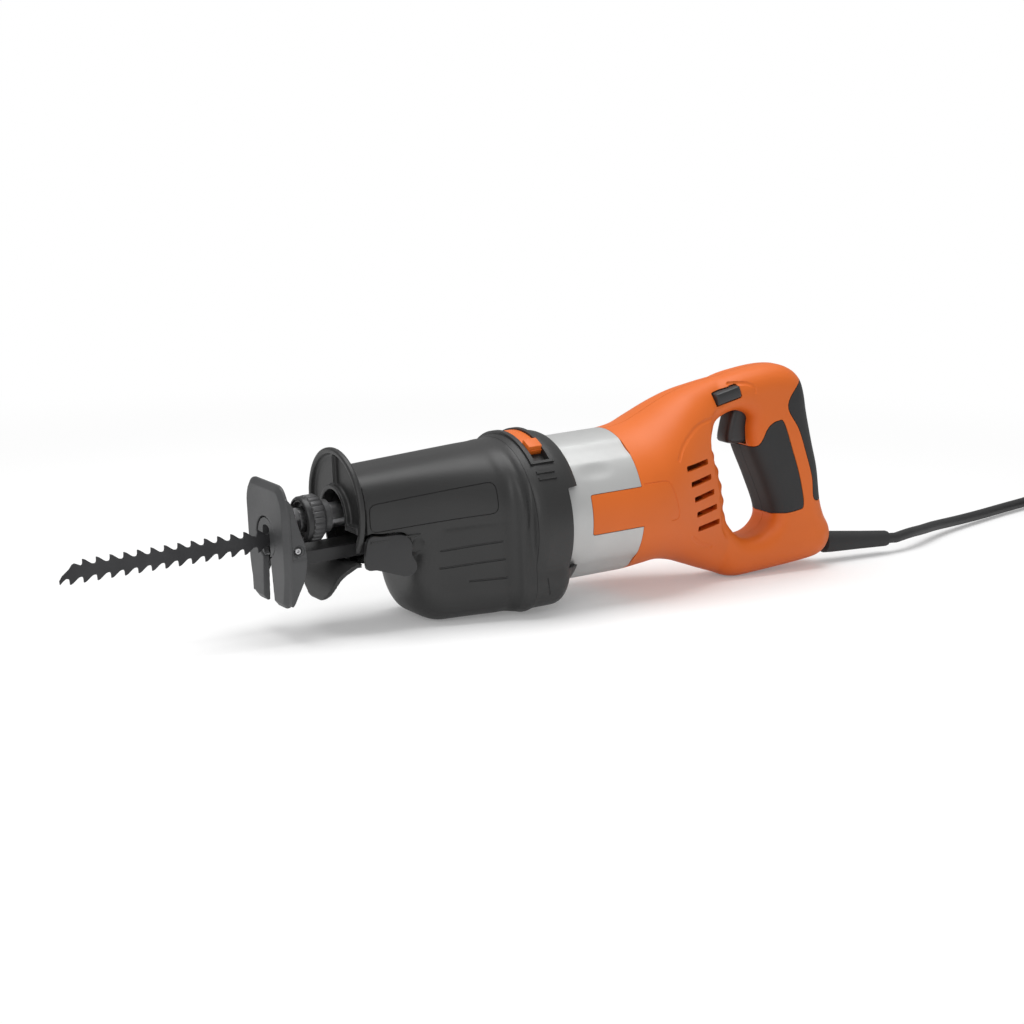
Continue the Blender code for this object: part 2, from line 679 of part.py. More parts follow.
def make_guard():
    center = (0.0, PLUNGER_Z)
    back = GUARD_X + GUARD_THICKNESS
    rim_front = GUARD_X - GUARD_RIM_HEIGHT
    inner = GUARD_RADIUS - GUARD_RIM_WIDTH
    profile = [
        (back, NOSE_HALF_WIDTH), (GUARD_X + GAP, GUARD_RADIUS), (rim_front, GUARD_RADIUS),
        (rim_front, inner), (GUARD_X, inner),
    ]
    guard = turned("finger_guard", "X", profile, 28, center)
    thickness = GUARD_THICKNESS
    top = NOSE_BOTTOM + 2 * thickness
    knee = (LIP_FRONT + thickness, NOSE_BOTTOM - thickness / 2)
    lip_outline = [
        (GUARD_X, top), knee, (LIP_FRONT, LIP_BOTTOM),
        (LIP_FRONT + thickness, LIP_BOTTOM - thickness / 3),
        (knee[0] + thickness, knee[1] - thickness), (GUARD_X + thickness, top),
    ]
    lip = prism("lip", lip_outline, -LIP_HALF_WIDTH, LIP_HALF_WIDTH)
    lip_center = (0.0, LIP_BOTTOM + LIP_HALF_WIDTH - thickness / 3)
    common(lip, rod("rounding", "X", LIP_FRONT - RUN, back + RUN, LIP_HALF_WIDTH, 32, lip_center))
    join(guard, lip)
    half = OPENING_HALF_WIDTH
    low = (rim_front - FAR, -half, OPENING_BOTTOM)
    cut(guard, box("cutter", low, (back + FAR, half, PLUNGER_Z)))
    return cut(guard, rod("cutter", "X", rim_front - FAR, back + FAR, half, 20, center))


def nose_shape(x):
    """Half width, top, bottom and squareness of the nose at a place along the motor axis."""
    share = (x - NOSE_FRONT) / (NOSE_END - NOSE_FRONT)
    swell = NOSE_TAPER * share + (1 - NOSE_TAPER) * share ** 3
    half_width = NOSE_HALF_WIDTH + (CASING_REAR_RADIUS - NOSE_HALF_WIDTH) * swell
    top = NOSE_TOP + (CASING_REAR_RADIUS - NOSE_TOP) * share
    bottom = NOSE_BOTTOM - (CASING_REAR_RADIUS + NOSE_BOTTOM) * share ** 4
    return half_width, top, bottom, NOSE_SQUARENESS + (2.0 - NOSE_SQUARENESS) * share


def nose_solid(name, inset=0.0, rear=NOSE_END):
    rings = []
    steps = 6
    for step in range(steps + 1):
        x = NOSE_FRONT + (NOSE_END - NOSE_FRONT) * step / steps
        half_width, top, bottom, power = nose_shape(x)
        if step == 0:
            x += max(0.0, inset)
        count = INNER_SIDES if inset > 0 else OUTER_SIDES
        rings.append(section(x, half_width - inset, top - inset, bottom + inset, power, count))
    if rear > NOSE_END:
        rings.append([(rear, y, z) for _, y, z in rings[-1]])
    return loft(name, rings)


def chin_outline():
    center = (CHIN_FRONT + CHIN_CORNER, CHIN_BOTTOM + CHIN_CORNER)
    steps = 4
    arc = []
    for step in range(steps + 1):
        turn = pi / 2 * step / steps
        arc.append((center[0] - CHIN_CORNER * cos(turn), center[1] - CHIN_CORNER * sin(turn)))
    rear = CASING_REAR + 2 * CHIN_ROUND
    return [(CHIN_FRONT, CHIN_TOP)] + arc + [(rear, CHIN_BOTTOM), (rear, CHIN_TOP)]


def casing_solid(name, inset=0.0, rear=NOSE_END):
    whole = nose_solid(name, inset, rear)
    rounding = CHIN_ROUND - inset
    return join(whole, plate("chin", chin_outline(), CHIN_HALF_WIDTH, rounding, inset))


def casing_side(x, z):
    """How far out the side of the casing is at a place on its left or right."""
    half_width, top, bottom, power = nose_shape(x)
    lean = min(1.0, abs(2 * (z - bottom) / (top - bottom) - 1)) ** power
    nose = half_width * (1 - lean) ** (1 / power)
    level = CHIN_BOTTOM + CHIN_CORNER
    depth = x - CHIN_FRONT
    if z < level:
        depth = CHIN_CORNER - hypot(min(0.0, x - CHIN_FRONT - CHIN_CORNER), z - level)
    edge = CHIN_ROUND - min(depth, CHIN_ROUND, CHIN_TOP - z)
    if edge > CHIN_ROUND:
        return nose
    return max(nose, CHIN_HALF_WIDTH - CHIN_ROUND + (CHIN_ROUND ** 2 - edge ** 2) ** 0.5)


def side_patch(name, grow, inner, outer):
    """A piece of the casing's left side under the lever, from an inner to an outer layer."""
    columns, rows = 8, 5
    points, faces = [], []
    for column in range(columns + 1):
        share = column / columns
        x = LEVER_FRONT + (LEVER_REAR - LEVER_FRONT) * share
        low = LEVER_FRONT_BOTTOM + (LEVER_BOTTOM - LEVER_FRONT_BOTTOM) * share
        spread_x = {0: -grow, columns: grow}.get(column, 0.0)
        for row in range(rows + 1):
            z = LEVER_PIN_Z + (low - LEVER_PIN_Z) * row / rows
            spread_z = {0: grow, rows: -grow}.get(row, 0.0)
            side = casing_side(x, z)
            points.append((x + spread_x, -side + inner, z + spread_z))
            points.append((x + spread_x, -side - outer, z + spread_z))
    stride = 2 * (rows + 1)
    for column in range(columns):
        for row in range(rows):
            here = column * stride + 2 * row
            for layer in (here, here + 1):
                faces.append((layer, layer + 2, layer + stride))
                faces.append((layer + 2, layer + stride + 2, layer + stride))
        for here in (column * stride, column * stride + 2 * rows):
            faces.append((here, here + stride, here + stride + 1, here + 1))
    for start in (0, columns * stride):
        for row in range(rows):
            here = start + 2 * row
            faces.append((here, here + 1, here + 3, here + 2))
    return solid(name, points, faces)


def lever_axis():
    """Where the lever's pin runs, level with the lever's outer face at its rear end."""
    return -casing_side(LEVER_REAR, LEVER_PIN_Z) - LEVER_PROUD + KNUCKLE_RADIUS, LEVER_PIN_Z


def make_lever():
    """The shoe lever is a curved flap on the nose, hinged along its upper edge."""
    axis = lever_axis()
    lever = side_patch("shoe_lever", 0.0, LEVER_DEPTH, LEVER_PROUD)
    join(lever, rod("knuckle", "X", LEVER_FRONT, LEVER_REAR, KNUCKLE_RADIUS, 16, axis))
    cut(lever, rod("cutter", "X", -FAR, FAR, LEVER_PIN_RADIUS + GAP, 12, axis))
    ends = (LEVER_FRONT - RUN - LEVER_PIN_HOLD, LEVER_REAR + RUN + LEVER_PIN_HOLD)
    rod("lever_pin", "X", ends[0], ends[1], LEVER_PIN_RADIUS, 12, axis)


def seat_lever(whole):
    """The recess the lever lies in, and two lugs that hold the ends of its pin."""
    axis = lever_axis()
    cut(whole, side_patch("recess", RUN, LEVER_DEPTH + RUN + GAP, MOTOR_RADIUS))
    cut(whole, rod("room", "X", LEVER_FRONT - GAP, LEVER_REAR + GAP, KNUCKLE_RADIUS + RUN, 16, axis))
    for near, side in ((LEVER_FRONT - RUN, -1), (LEVER_REAR + RUN, 1)):
        ends = sorted((near + side * GAP / 2, near + side * LEVER_PIN_HOLD))
        low = (ends[0], axis[0] - KNUCKLE_RADIUS, axis[1] - KNUCKLE_RADIUS)
        join(whole, box("lug", low, (ends[1], axis[0] + LUG_DEPTH, axis[1] + KNUCKLE_RADIUS)))
    ends = (LEVER_FRONT - RUN - LEVER_PIN_HOLD - GAP, LEVER_REAR + RUN + LEVER_PIN_HOLD + GAP)
    return cut(whole, rod("cutter", "X", ends[0], ends[1], LEVER_PIN_RADIUS + GAP, 12, axis))


def add_screws(whole, places, stem):
    """Bosses from wall to wall with a bore from the right-hand side, and a screw in each."""
    for number, (x, z, out) in enumerate(places, start=1):
        spot = (x, z)
        seat = out - 2 * SCREW_HEAD
        inner = out - SCREW_HEAD
        join(whole, rod("boss", "Y", -inner, inner, BOSS_RADIUS, 8, spot))
        cut(whole, rod("cutter", "Y", -SCREW_REACH - GAP, seat + GAP, SCREW_RADIUS + GAP, 8, spot))
        cut(whole, rod("cutter", "Y", seat, FAR, SCREW_HEAD_RADIUS + GAP, 8, spot))
        profile = [
            (-SCREW_REACH, SCREW_RADIUS), (seat + GAP, SCREW_RADIUS), (seat + GAP, SCREW_HEAD_RADIUS),
            (seat + GAP + SCREW_HEAD, SCREW_HEAD_RADIUS),
        ]
        turned(f"{stem}_screw_{number}", "Y", profile, 8, spot)


def make_casing():
    whole = casing_solid("casing_left")
    cut(whole, box("cutter", (CASING_REAR, -FAR, -FAR), (FAR, FAR, FAR)))
    cut(whole, casing_solid("cutter", CASING_WALL, CASING_REAR + CHIN_ROUND))
    screws = []
    for x, z in mm_points(CASING_SCREWS):
        out = min(casing_side(x, z + shift) for shift in (-BOSS_RADIUS, 0.0, BOSS_RADIUS))
        screws.append((x, z, out))
    add_screws(whole, screws, "casing")
    low = (-FAR, -OPENING_HALF_WIDTH, OPENING_BOTTOM)
    high = (NOSE_FRONT + 2 * CASING_WALL, OPENING_HALF_WIDTH, PLUNGER_Z + OPENING_HALF_WIDTH)
    cut(whole, box("cutter", low, high))
    seat_lever(whole)
    return halves(whole, "casing_left", "casing_right")


def foot_outline():
    """The chin's underside, carried on below the band to a rounded rear corner."""
    front = CASING_REAR - 2 * CHIN_ROUND
    center = (BAND_REAR - CHIN_CORNER, CHIN_BOTTOM + CHIN_CORNER)
    steps = 4
    arc = []
    for step in range(steps + 1):
        turn = pi / 2 * step / steps
        arc.append((center[0] + CHIN_CORNER * sin(turn), center[1] - CHIN_CORNER * cos(turn)))
    return [(front, 0.0), (front, CHIN_BOTTOM)] + arc + [(BAND_REAR, 0.0)]


def make_band():
    """The collar band behind the casing, with the selector's slot over its top."""
    front = CASING_REAR + GAP
    bevel = BAND_TAB / 2
    rear = BAND_REAR + BAND_TAB
    inner = MOTOR_RADIUS + GAP
    profile = [
        (front, BAND_RADIUS - bevel), (front + bevel / 2, BAND_RADIUS), (rear - 2 * bevel, BAND_RADIUS),
        (rear, BAND_RADIUS - 1.5 * bevel), (rear, inner), (front, inner),
    ]
    band = turned("collar_band", "X", profile, 32, hollow=True)
    foot = plate("foot", foot_outline(), CHIN_HALF_WIDTH, CHIN_ROUND)
    cut(foot, box("cutter", (-FAR, -FAR, -FAR), (front + GAP, FAR, FAR)))
    cut(foot, rod("cutter", "X", -FAR, FAR, inner + GAP, 32))
    join(band, foot)
    tab = (TONGUE_TOP + MOTOR_WALL, -MOTOR_RADIUS * 0.75)
    cut(band, box("cutter", (BAND_REAR, -FAR, tab[1]), (FAR, FAR, tab[0])))
    x_range = (SLOT_FRONT, SLOT_FRONT + SLOT_WIDTH)
    floor = BAND_RADIUS - SLOT_DEPTH
    cut(band, arc_block("cutter", x_range, (floor, BAND_RADIUS + SLOT_DEPTH), (SLOT_FROM, SLOT_TO)))
    slider_x = (x_range[0] + GAP, x_range[1] - GAP)
    slider_r = (floor + GAP, BAND_RADIUS - GAP)
    slider = arc_block("selector_slider", slider_x, slider_r, (SLIDER_FROM, SLIDER_TO))
    thumb = (SLIDER_TO - 3 * SLIDER_TAB / BAND_RADIUS, SLIDER_TO - SLIDER_TAB / BAND_RADIUS / 3)
    inset = SLIDER_TAB / 6
    thumb_x = (slider_x[0] + inset, slider_x[1] - inset)
    thumb_r = (BAND_RADIUS - SLIDER_TAB, BAND_RADIUS + SLIDER_TAB)
    join(slider, arc_block("thumb", thumb_x, thumb_r, thumb, 3))


# Gear train

def make_gear_frame():
    center = (0.0, PLUNGER_Z)
    shoulder = NOSE_END - 2 * BUSH_WALL / 3
    rim_end = MOTOR_FRONT - GAP
    profile = [
        (REAR_WALL_FRONT, FRAME_WALL_RADIUS), (shoulder, FRAME_WALL_RADIUS),
        (shoulder, FRAME_SHOULDER_RADIUS), (rim_end, FRAME_SHOULDER_RADIUS),
        (rim_end, FRAME_SHOULDER_RADIUS - FRAME_RIM), (REAR_WALL_BACK, FRAME_SHOULDER_RADIUS - FRAME_RIM),
    ]
    frame = turned("gear_frame", "X", profile, 20)
    half = FRAME_HALF_WIDTH
    floor_rear = REAR_WALL_FRONT + FLOOR_THICKNESS
    floor_front = GEAR_X - GEAR_RADIUS / 2
    join(frame, box("floor", (floor_front, -half, FRAME_FLOOR), (floor_rear, half, FLOOR_TOP)))
    wall_bottom = BRACKET_TOP - BRACKET_THICKNESS
    wall_top = PLUNGER_Z + BUSH_RADIUS + FLOOR_THICKNESS
    wall_back = FRAME_FRONT + FRAME_WALL
    join(frame, box("wall", (FRAME_FRONT, -half, wall_bottom), (wall_back, half, wall_top)))
    rail_inner = STROKE / 2 + CRANK_PIN_RADIUS + 2 * RUN
    for side in (-1, 1):
        sides = sorted((side * rail_inner, side * (half - GAP)))
        rail_low = (FRAME_FRONT + RUN, sides[0], wall_bottom + GAP)
        join(frame, box("rail", rail_low, (floor_rear, sides[1], BRACKET_TOP)))
    bush_hole = BUSH_RADIUS + GAP
    cut(frame, rod("cutter", "X", FRAME_FRONT - RUN, wall_back + RUN, bush_hole, 20, center))
    bush_end = REAR_WALL_FRONT + BUSH_LENGTH
    cut(frame, rod("cutter", "X", REAR_WALL_FRONT - RUN, bush_end + GAP, bush_hole, 20, center))
    cut(frame, rod("cutter", "X", REAR_WALL_FRONT, rim_end, PLUNGER_RADIUS + RUN, 20, center))
    slot = BRACKET_HALF_WIDTH + GAP
    slot_low = (FRAME_FRONT - RUN, -slot, BRACKET_TOP - BRACKET_THICKNESS - GAP)
    cut(frame, box("cutter", slot_low, (wall_back + RUN, slot, BRACKET_TOP + GAP)))
    pocket = REAR_WALL_BACK - BEARING_WIDTH - GAP
    cut(frame, rod("cutter", "X", pocket, REAR_WALL_BACK + RUN, BEARING_RADIUS + GAP, 20))
    cut(frame, rod("cutter", "X", REAR_WALL_FRONT - RUN, pocket + RUN, SHAFT_RADIUS + RUN, 24))
    post = (GEAR_X, 0.0)
    cut(frame, rod("cutter", "Z", FRAME_FLOOR - RUN, FLOOR_TOP + RUN, POST_RADIUS + GAP, 20, post))
    bore = PLUNGER_RADIUS + GAP
    tube("front_bush", "X", wall_back - BUSH_LENGTH, wall_back, BUSH_RADIUS, bore, 20, center)
    tube("rear_bush", "X", REAR_WALL_FRONT, bush_end, BUSH_RADIUS, bore, 20, center)
    rod("gear_post", "Z", FRAME_FLOOR, GEAR_TOP, POST_RADIUS, 20, post)


def toothed_ring(axial, radius, depth, teeth):
    """A ring square to X with straight-sided teeth."""
    ring = []
    for tooth in range(teeth):
        root = radius - depth
        for share, reach in ((0.0, root), (0.3, root), (0.45, radius), (0.85, radius)):
            turn = 2 * pi * (tooth + share) / teeth
            ring.append((axial, reach * sin(turn), reach * cos(turn)))
    return ring


def make_crown_gear():
    center = (GEAR_X, 0.0)
    gear = rod("crown_gear", "Z", GEAR_BOTTOM, GEAR_TOP, GEAR_RADIUS, 24, center)
    face = GEAR_RADIUS - PINION_LENGTH
    points, faces = [], []
    for step in range(GEAR_TEETH * 2):
        turn = pi * (step + 0.5) / GEAR_TEETH
        height = GEAR_TOOTH_TIP if step % 2 else GEAR_TOP + GAP
        for radius in (face, GEAR_RADIUS - GAP):
            for z in (GEAR_TOP - RUN, height):
                points.append((GEAR_X + radius * sin(turn), radius * cos(turn), z))
    count = len(points)
    for start in range(0, count, 4):
        following = (start + 4) % count
        for a, b in ((0, 1), (1, 3), (3, 2), (2, 0)):
            faces.append((start + a, start + b, following + b, following + a))
    join(gear, solid("teeth", points, faces))
    hub = 2 * POST_RADIUS
    join(gear, rod("hub", "Z", FLOOR_TOP + RUN, GEAR_BOTTOM + RUN, hub, 16, center))
    cut(gear, rod("cutter", "Z", FLOOR_TOP, GEAR_TOP + RUN, POST_RADIUS + GAP, 20, center))
    crank = (YOKE_X, 0.0)
    return join(gear, rod("pin", "Z", GEAR_TOP - RUN, YOKE_BOTTOM - RUN, CRANK_PIN_RADIUS, 20, crank))


# Motor

def make_motor_housing():
    seam = SEAM_X - GAP
    step = seam - MOTOR_WALL
    profile = [
        (MOTOR_FRONT, MOTOR_RADIUS), (seam, MOTOR_RADIUS), (seam, SPIGOT_OUTER),
        (SPIGOT_END, SPIGOT_OUTER), (SPIGOT_END, SPIGOT_INNER), (step, SPIGOT_INNER),
        (step, MOTOR_INNER), (MOTOR_FRONT, MOTOR_INNER),
    ]
    housing = turned("motor_housing", "X", profile, 32, hollow=True)
    low = (TONGUE_FRONT - GAP, -FAR, TONGUE_BOTTOM - GAP)
    tongue = box("cutter", low, (SEAM_X, FAR, TONGUE_TOP + GAP))
    keep = rod("keep", "X", step - GAP, SEAM_X + GAP, SPIGOT_OUTER, 32)
    return cut(housing, cut(tongue, keep))


def make_armature():
    pinion_tip = GEAR_X + GEAR_RADIUS - PINION_LENGTH
    pinion_end = pinion_tip + PINION_LENGTH
    bridge_front = SPIGOT_END - BRIDGE_WIDTH
    depth = PINION_RADIUS - SHAFT_RADIUS
    rings = [toothed_ring(x, PINION_RADIUS, depth, PINION_TEETH) for x in (pinion_tip, pinion_end)]
    shaft = loft("armature_shaft", rings)
    join(shaft, rod("stem", "X", pinion_end - RUN, SPIGOT_END, SHAFT_RADIUS - GAP, 24))
    core_radius = STATOR_BORE - RUN
    bore = SHAFT_RADIUS
    core_ends = (STATOR_START, STATOR_START + STATOR_LENGTH)
    rings = [toothed_ring(x, core_radius, core_radius / 4, ARMATURE_SLOTS) for x in core_ends]
    core = loft("armature_core", rings)
    cut(core, rod("cutter", "X", core_ends[0] - RUN, core_ends[1] + RUN, bore, 24))
    end = COMMUTATOR_START + COMMUTATOR_LENGTH
    tube("commutator", "X", COMMUTATOR_START, end, COMMUTATOR_RADIUS, bore, 16)
    tube("front_bearing", "X", REAR_WALL_BACK - BEARING_WIDTH, REAR_WALL_BACK, BEARING_RADIUS, bore, 20)
    tube("rear_bearing", "X", bridge_front - GAP, SPIGOT_END - GAP, BEARING_RADIUS, bore, 20)
    make_fan(bore)


def make_fan(bore):
    start = MOTOR_FRONT + RUN
    plate_end = start + FAN_WIDTH / 3
    fan = rod("cooling_fan", "X", start, plate_end, FAN_RADIUS, 20)
    hub = COMMUTATOR_RADIUS
    join(fan, rod("hub", "X", start + RUN, start + FAN_WIDTH, hub, 18))
    half = RUN
    for blade in range(FAN_BLADES):
        turn = 2 * pi * blade / FAN_BLADES
        vane_high = (start + FAN_WIDTH - GAP, half, FAN_RADIUS - RUN)
        vane = box("vane", (start + RUN, -half, hub / 2), vane_high)
        vane.data.transform(Matrix.Rotation(turn, 4, "X"))
        join(fan, vane)
    cut(fan, rod("cutter", "X", start - RUN, start + FAN_WIDTH + RUN, bore, 24))


def make_stator_and_brushes():
    tube("stator", "X", STATOR_START, STATOR_START + STATOR_LENGTH, MOTOR_INNER - GAP, STATOR_BORE, 24)
    bridge_front = SPIGOT_END - BRIDGE_WIDTH
    tube("brush_bridge", "X", bridge_front, SPIGOT_END, SPIGOT_INNER - GAP, BEARING_RADIUS + GAP, 24)
    middle = COMMUTATOR_START + COMMUTATOR_LENGTH / 2
    half = BRUSH_SIDE / 2
    start = COMMUTATOR_RADIUS + GAP
    end = SPIGOT_INNER - BRUSH_ROOM
    for side, name in ((-1, "left"), (1, "right")):
        inner, outer = sorted((side * start, side * end))
        box(f"brush_{name}", (middle - half, inner, -half), (middle + half, outer, half))
        reach = half + GAP
        shell = reach + HOLDER_WALL
        near, far = sorted((side * (start + 2 * RUN), side * (end + RUN)))
        holder_low = (middle - shell, near, -shell)
        holder = box(f"brush_holder_{name}", holder_low, (bridge_front - GAP, far, shell))
        cut(holder, box("cutter", (middle - reach, -FAR, -reach), (middle + reach, FAR, reach)))


# Handle

def body_solid(name, inset=0.0):
    front = STATOR_START if inset > 0 else SEAM_X
    radius = MOTOR_RADIUS - inset
    count = INNER_SIDES if inset > 0 else OUTER_SIDES
    rings = [section(front, radius, radius, -radius, 2.0, count)]
    if inset > 0:
        rings.append(section(SEAM_X, radius, radius, -radius, 2.0, count))
    for x, share, top, bottom, power in BODY_STATIONS:
        half = HANDLE_HALF + share * (MOTOR_RADIUS - HANDLE_HALF) - inset
        rings.append(section(x * MM, half, radius + top * MM, -radius - bottom * MM, power, count))
    return loft(name, rings)


def grip_solid(name, inset=0.0):
    outline = smooth_loop(mm_points(HANDLE_OUTLINE))
    hole = smooth_loop(mm_points(HOLE_OUTLINE))
    grip = plate(name, outline, HANDLE_HALF, HANDLE_ROUND - inset, inset)
    return cut(grip, flared_hole("cutter", hole, HANDLE_HALF, HOLE_ROUND, inset))


def handle_solid(name):
    whole = body_solid(name)
    join(whole, plate("grip", smooth_loop(mm_points(HANDLE_OUTLINE)), HANDLE_HALF, HANDLE_ROUND))
    hole = smooth_loop(mm_points(HOLE_OUTLINE))
    return cut(whole, flared_hole("cutter", hole, HANDLE_HALF, HOLE_ROUND))


def handle_cavity(name):
    cavity = body_solid(name, SHELL_WALL)
    outline = shrink(mm_points(HANDLE_OUTLINE), HANDLE_WALL)
    join(cavity, plate("grip", outline, CAVITY_HALF, CAVITY_ROUND))
    return cut(cavity, prism("cutter", shrink(mm_points(HOLE_OUTLINE), -HANDLE_WALL), -FAR, FAR))


def button_outline(grow=0.0):
    outline = []
    for along, across in ((-1, -1), (1, -1), (1, 1), (-1, 1)):
        u = along * (BUTTON_LENGTH / 2 + grow)
        v = across * (BUTTON_HEIGHT / 2 + grow)
        x = BUTTON_X + u * cos(BUTTON_TILT) - v * sin(BUTTON_TILT)
        outline.append((x, BUTTON_Z + u * sin(BUTTON_TILT) + v * cos(BUTTON_TILT)))
    return outline


def relief_rings(profile, count=16):
    """Rings along the strain relief's drooping axis, in the saw's own frame."""
    axis = Vector((cos(RELIEF_DROOP), 0.0, -sin(RELIEF_DROOP)))
    up = Vector((sin(RELIEF_DROOP), 0.0, cos(RELIEF_DROOP)))
    across = Vector((0.0, 1.0, 0.0))
    base = Vector((RELIEF_START[0], 0.0, RELIEF_START[1]))
    rings = []
    for along, radius in profile:
        ring = []
        for step in range(count):
            turn = 2 * pi * step / count
            ring.append(base + axis * along + (across * sin(turn) + up * cos(turn)) * radius)
        rings.append(ring)
    return rings


def trigger_opening(grow):
    points = mm_points(TRIGGER_OUTLINE)
    xs = [x for x, _ in points]
    zs = [z for _, z in points]
    half = TRIGGER_HALF_WIDTH + RUN
    low = (min(xs) - grow, -half, min(zs) - grow)
    return box("opening", low, (max(xs) + TRIGGER_ROOM, half, max(zs) + grow))


def make_handle():
    whole = handle_solid("handle_left")
    cut(whole, handle_cavity("cutter"))
    tongue = tube("tongue", "X", TONGUE_FRONT, SEAM_X + RUN, MOTOR_RADIUS, MOTOR_RADIUS - SHELL_WALL, 32)
    common(tongue, box("slice", (-FAR, -FAR, TONGUE_BOTTOM), (FAR, FAR, TONGUE_TOP)))
    join(whole, tongue)
    screws = mm_points(HANDLE_SCREWS)
    for x, z in mm_points([BODY_SCREW]):
        screws.append((x, z, MOTOR_RADIUS - BODY_SCREW_IN))
    add_screws(whole, screws, "handle")
    for number in range(VENT_COUNT):
        shift = number - (VENT_COUNT - 1) / 2
        middle_x = VENT_X - shift * VENT_LEAN
        middle_z = VENT_Z + shift * VENT_PITCH
        corner = (VENT_LENGTH / 2, FAR, VENT_HEIGHT / 2)
        slot = box("cutter", tuple(-reach for reach in corner), corner)
        slot.data.transform(Matrix.Rotation(-VENT_TILT, 4, "Y"))
        slot.data.transform(Matrix.Translation((middle_x, 0.0, middle_z)))
        cut(whole, slot)
    cut(whole, trigger_opening(2 * RUN))
    pin_half = TRIGGER_PIN_HALF + GAP
    cut(whole, rod("cutter", "Y", -pin_half, pin_half, TRIGGER_PIN_RADIUS + GAP, 16, TRIGGER_PIN))
    pocket = -BUTTON_OUT + BUTTON_DEPTH + BUTTON_TRAVEL + GAP
    cut(whole, prism("cutter", button_outline(GAP), -FAR, pocket))
    relief = [(-RUN, RELIEF_NECK_RADIUS + GAP), (RELIEF_LENGTH / 2, RELIEF_NECK_RADIUS + GAP)]
    cut(whole, loft("cutter", relief_rings(relief)))
    for outline_points, name in ((GRIP_FRONT_OUTLINE, "grip_front"), (GRIP_REAR_OUTLINE, "grip_rear")):
        outline = mm_points(outline_points)
        recess = prism("recess", shrink(outline, -GAP), -FAR, FAR)
        cut(recess, grip_solid("cutter", GRIP_THICKNESS + GAP))
        cut(whole, recess)
        cover = grip_solid(name)
        cut(cover, grip_solid("cutter", GRIP_THICKNESS))
        common(cover, prism("slice", outline, -FAR, FAR))
        cut(cover, trigger_opening(2 * RUN))
        halves(cover, f"{name}_left", f"{name}_right")
    return halves(whole, "handle_left", "handle_right")


def make_controls():
    half = TRIGGER_HALF_WIDTH
    trigger = prism("trigger", smooth_loop(mm_points(TRIGGER_OUTLINE)), -half, half)
    cut(trigger, rod("cutter", "Y", -FAR, FAR, TRIGGER_PIN_RADIUS + GAP, 16, TRIGGER_PIN))
    rod("trigger_pin", "Y", -TRIGGER_PIN_HALF, TRIGGER_PIN_HALF, TRIGGER_PIN_RADIUS, 16, TRIGGER_PIN)
    front = max(x for x, _ in mm_points(TRIGGER_OUTLINE)) + TRIGGER_ROOM
    low = (front, -SWITCH_HALF_WIDTH, TRIGGER_PIN[1] - SWITCH_HEIGHT)
    box("switch_body", low, (front + SWITCH_LENGTH, SWITCH_HALF_WIDTH, TRIGGER_PIN[1]))
    prism("lock_button", button_outline(), -BUTTON_OUT, -BUTTON_OUT + BUTTON_DEPTH)


# Mains lead

def make_relief():
    neck = RELIEF_NECK_LENGTH
    taper = RELIEF_LENGTH - neck
    profile = [
        (0.0, RELIEF_NECK_RADIUS), (neck, RELIEF_NECK_RADIUS), (neck, RELIEF_BASE_RADIUS),
        (neck + taper / 8, RELIEF_BASE_RADIUS), (RELIEF_LENGTH, RELIEF_TIP_RADIUS),
    ]
    return loft("strain_relief", relief_rings(profile))


def open_curve(points, steps=2):
    """More points on a smooth curve through the given ones, which it starts and ends on."""
    padded = [points[0]] + list(points) + [points[-1]]
    path = []
    for index in range(len(points) - 1):
        a, b, c, d = (Vector(padded[index + k]) for k in range(4))
        for step in range(steps):
            t = step / steps
            path.append(0.5 * (2 * b + (c - a) * t + (2 * a - 5 * b + 4 * c - d) * t ** 2
                               + (3 * b - a - 3 * c + d) * t ** 3))
    return path + [Vector(points[-1])]


def cord(name, path, sides):
    curve = bpy.data.curves.new(name, "CURVE")
    curve.dimensions = "3D"
    curve.bevel_depth = CORD_DIAMETER / 2
    curve.bevel_resolution = sides
    curve.use_fill_caps = True
    line = curve.splines.new("POLY")
    line.points.add(len(path) - 1)
    for point, place in zip(line.points, path):
        point.co = (*place, 1.0)
    item = bpy.data.objects.new(name, curve)
    bpy.context.scene.collection.objects.link(item)
    return item


def coil_path():
    """Spiral inwards on the floor, climb one layer at the inner loop, spiral out again."""
    half = COIL_TURNS / 2
    low = COIL_FLOOR + CORD_DIAMETER / 2
    path = []
    steps = round(COIL_TURNS * POINTS_PER_LOOP)
    for step in range(steps + 1):
        turns = step / POINTS_PER_LOOP
        radius = COIL_INNER_RADIUS + COIL_STEP * abs(turns - half)
        rise = min(1.0, max(0.0, 2 * (turns - half) + 0.5))
        angle = pi / 2 - 2 * pi * turns
        height = low + COIL_LAYER * (3 - 2 * rise) * rise ** 2
        middle = Vector((*COIL_CENTER, height))
        path.append(middle + Vector((radius * cos(angle), radius * sin(angle), 0.0)))
    start = path[0] - Vector((CORD_DIAMETER, 0.0, 0.0))
    end = path[-1] - Vector((0.0, COIL_TAIL, 0.0))
    return [start] + path + [end]


def least_gap(path):
    """The least room between stretches of the coil that are not neighbours along it."""
    apart = POINTS_PER_LOOP // 2
    least = FAR
    for first in range(len(path)):
        for second in range(first + apart, len(path) - 1):
            edge = path[second + 1] - path[second]
            share = (path[first] - path[second]).dot(edge) / edge.length_squared
            nearest = path[second] + edge * min(1.0, max(0.0, share))
            least = min(least, (path[first] - nearest).length - CORD_DIAMETER)
    return least


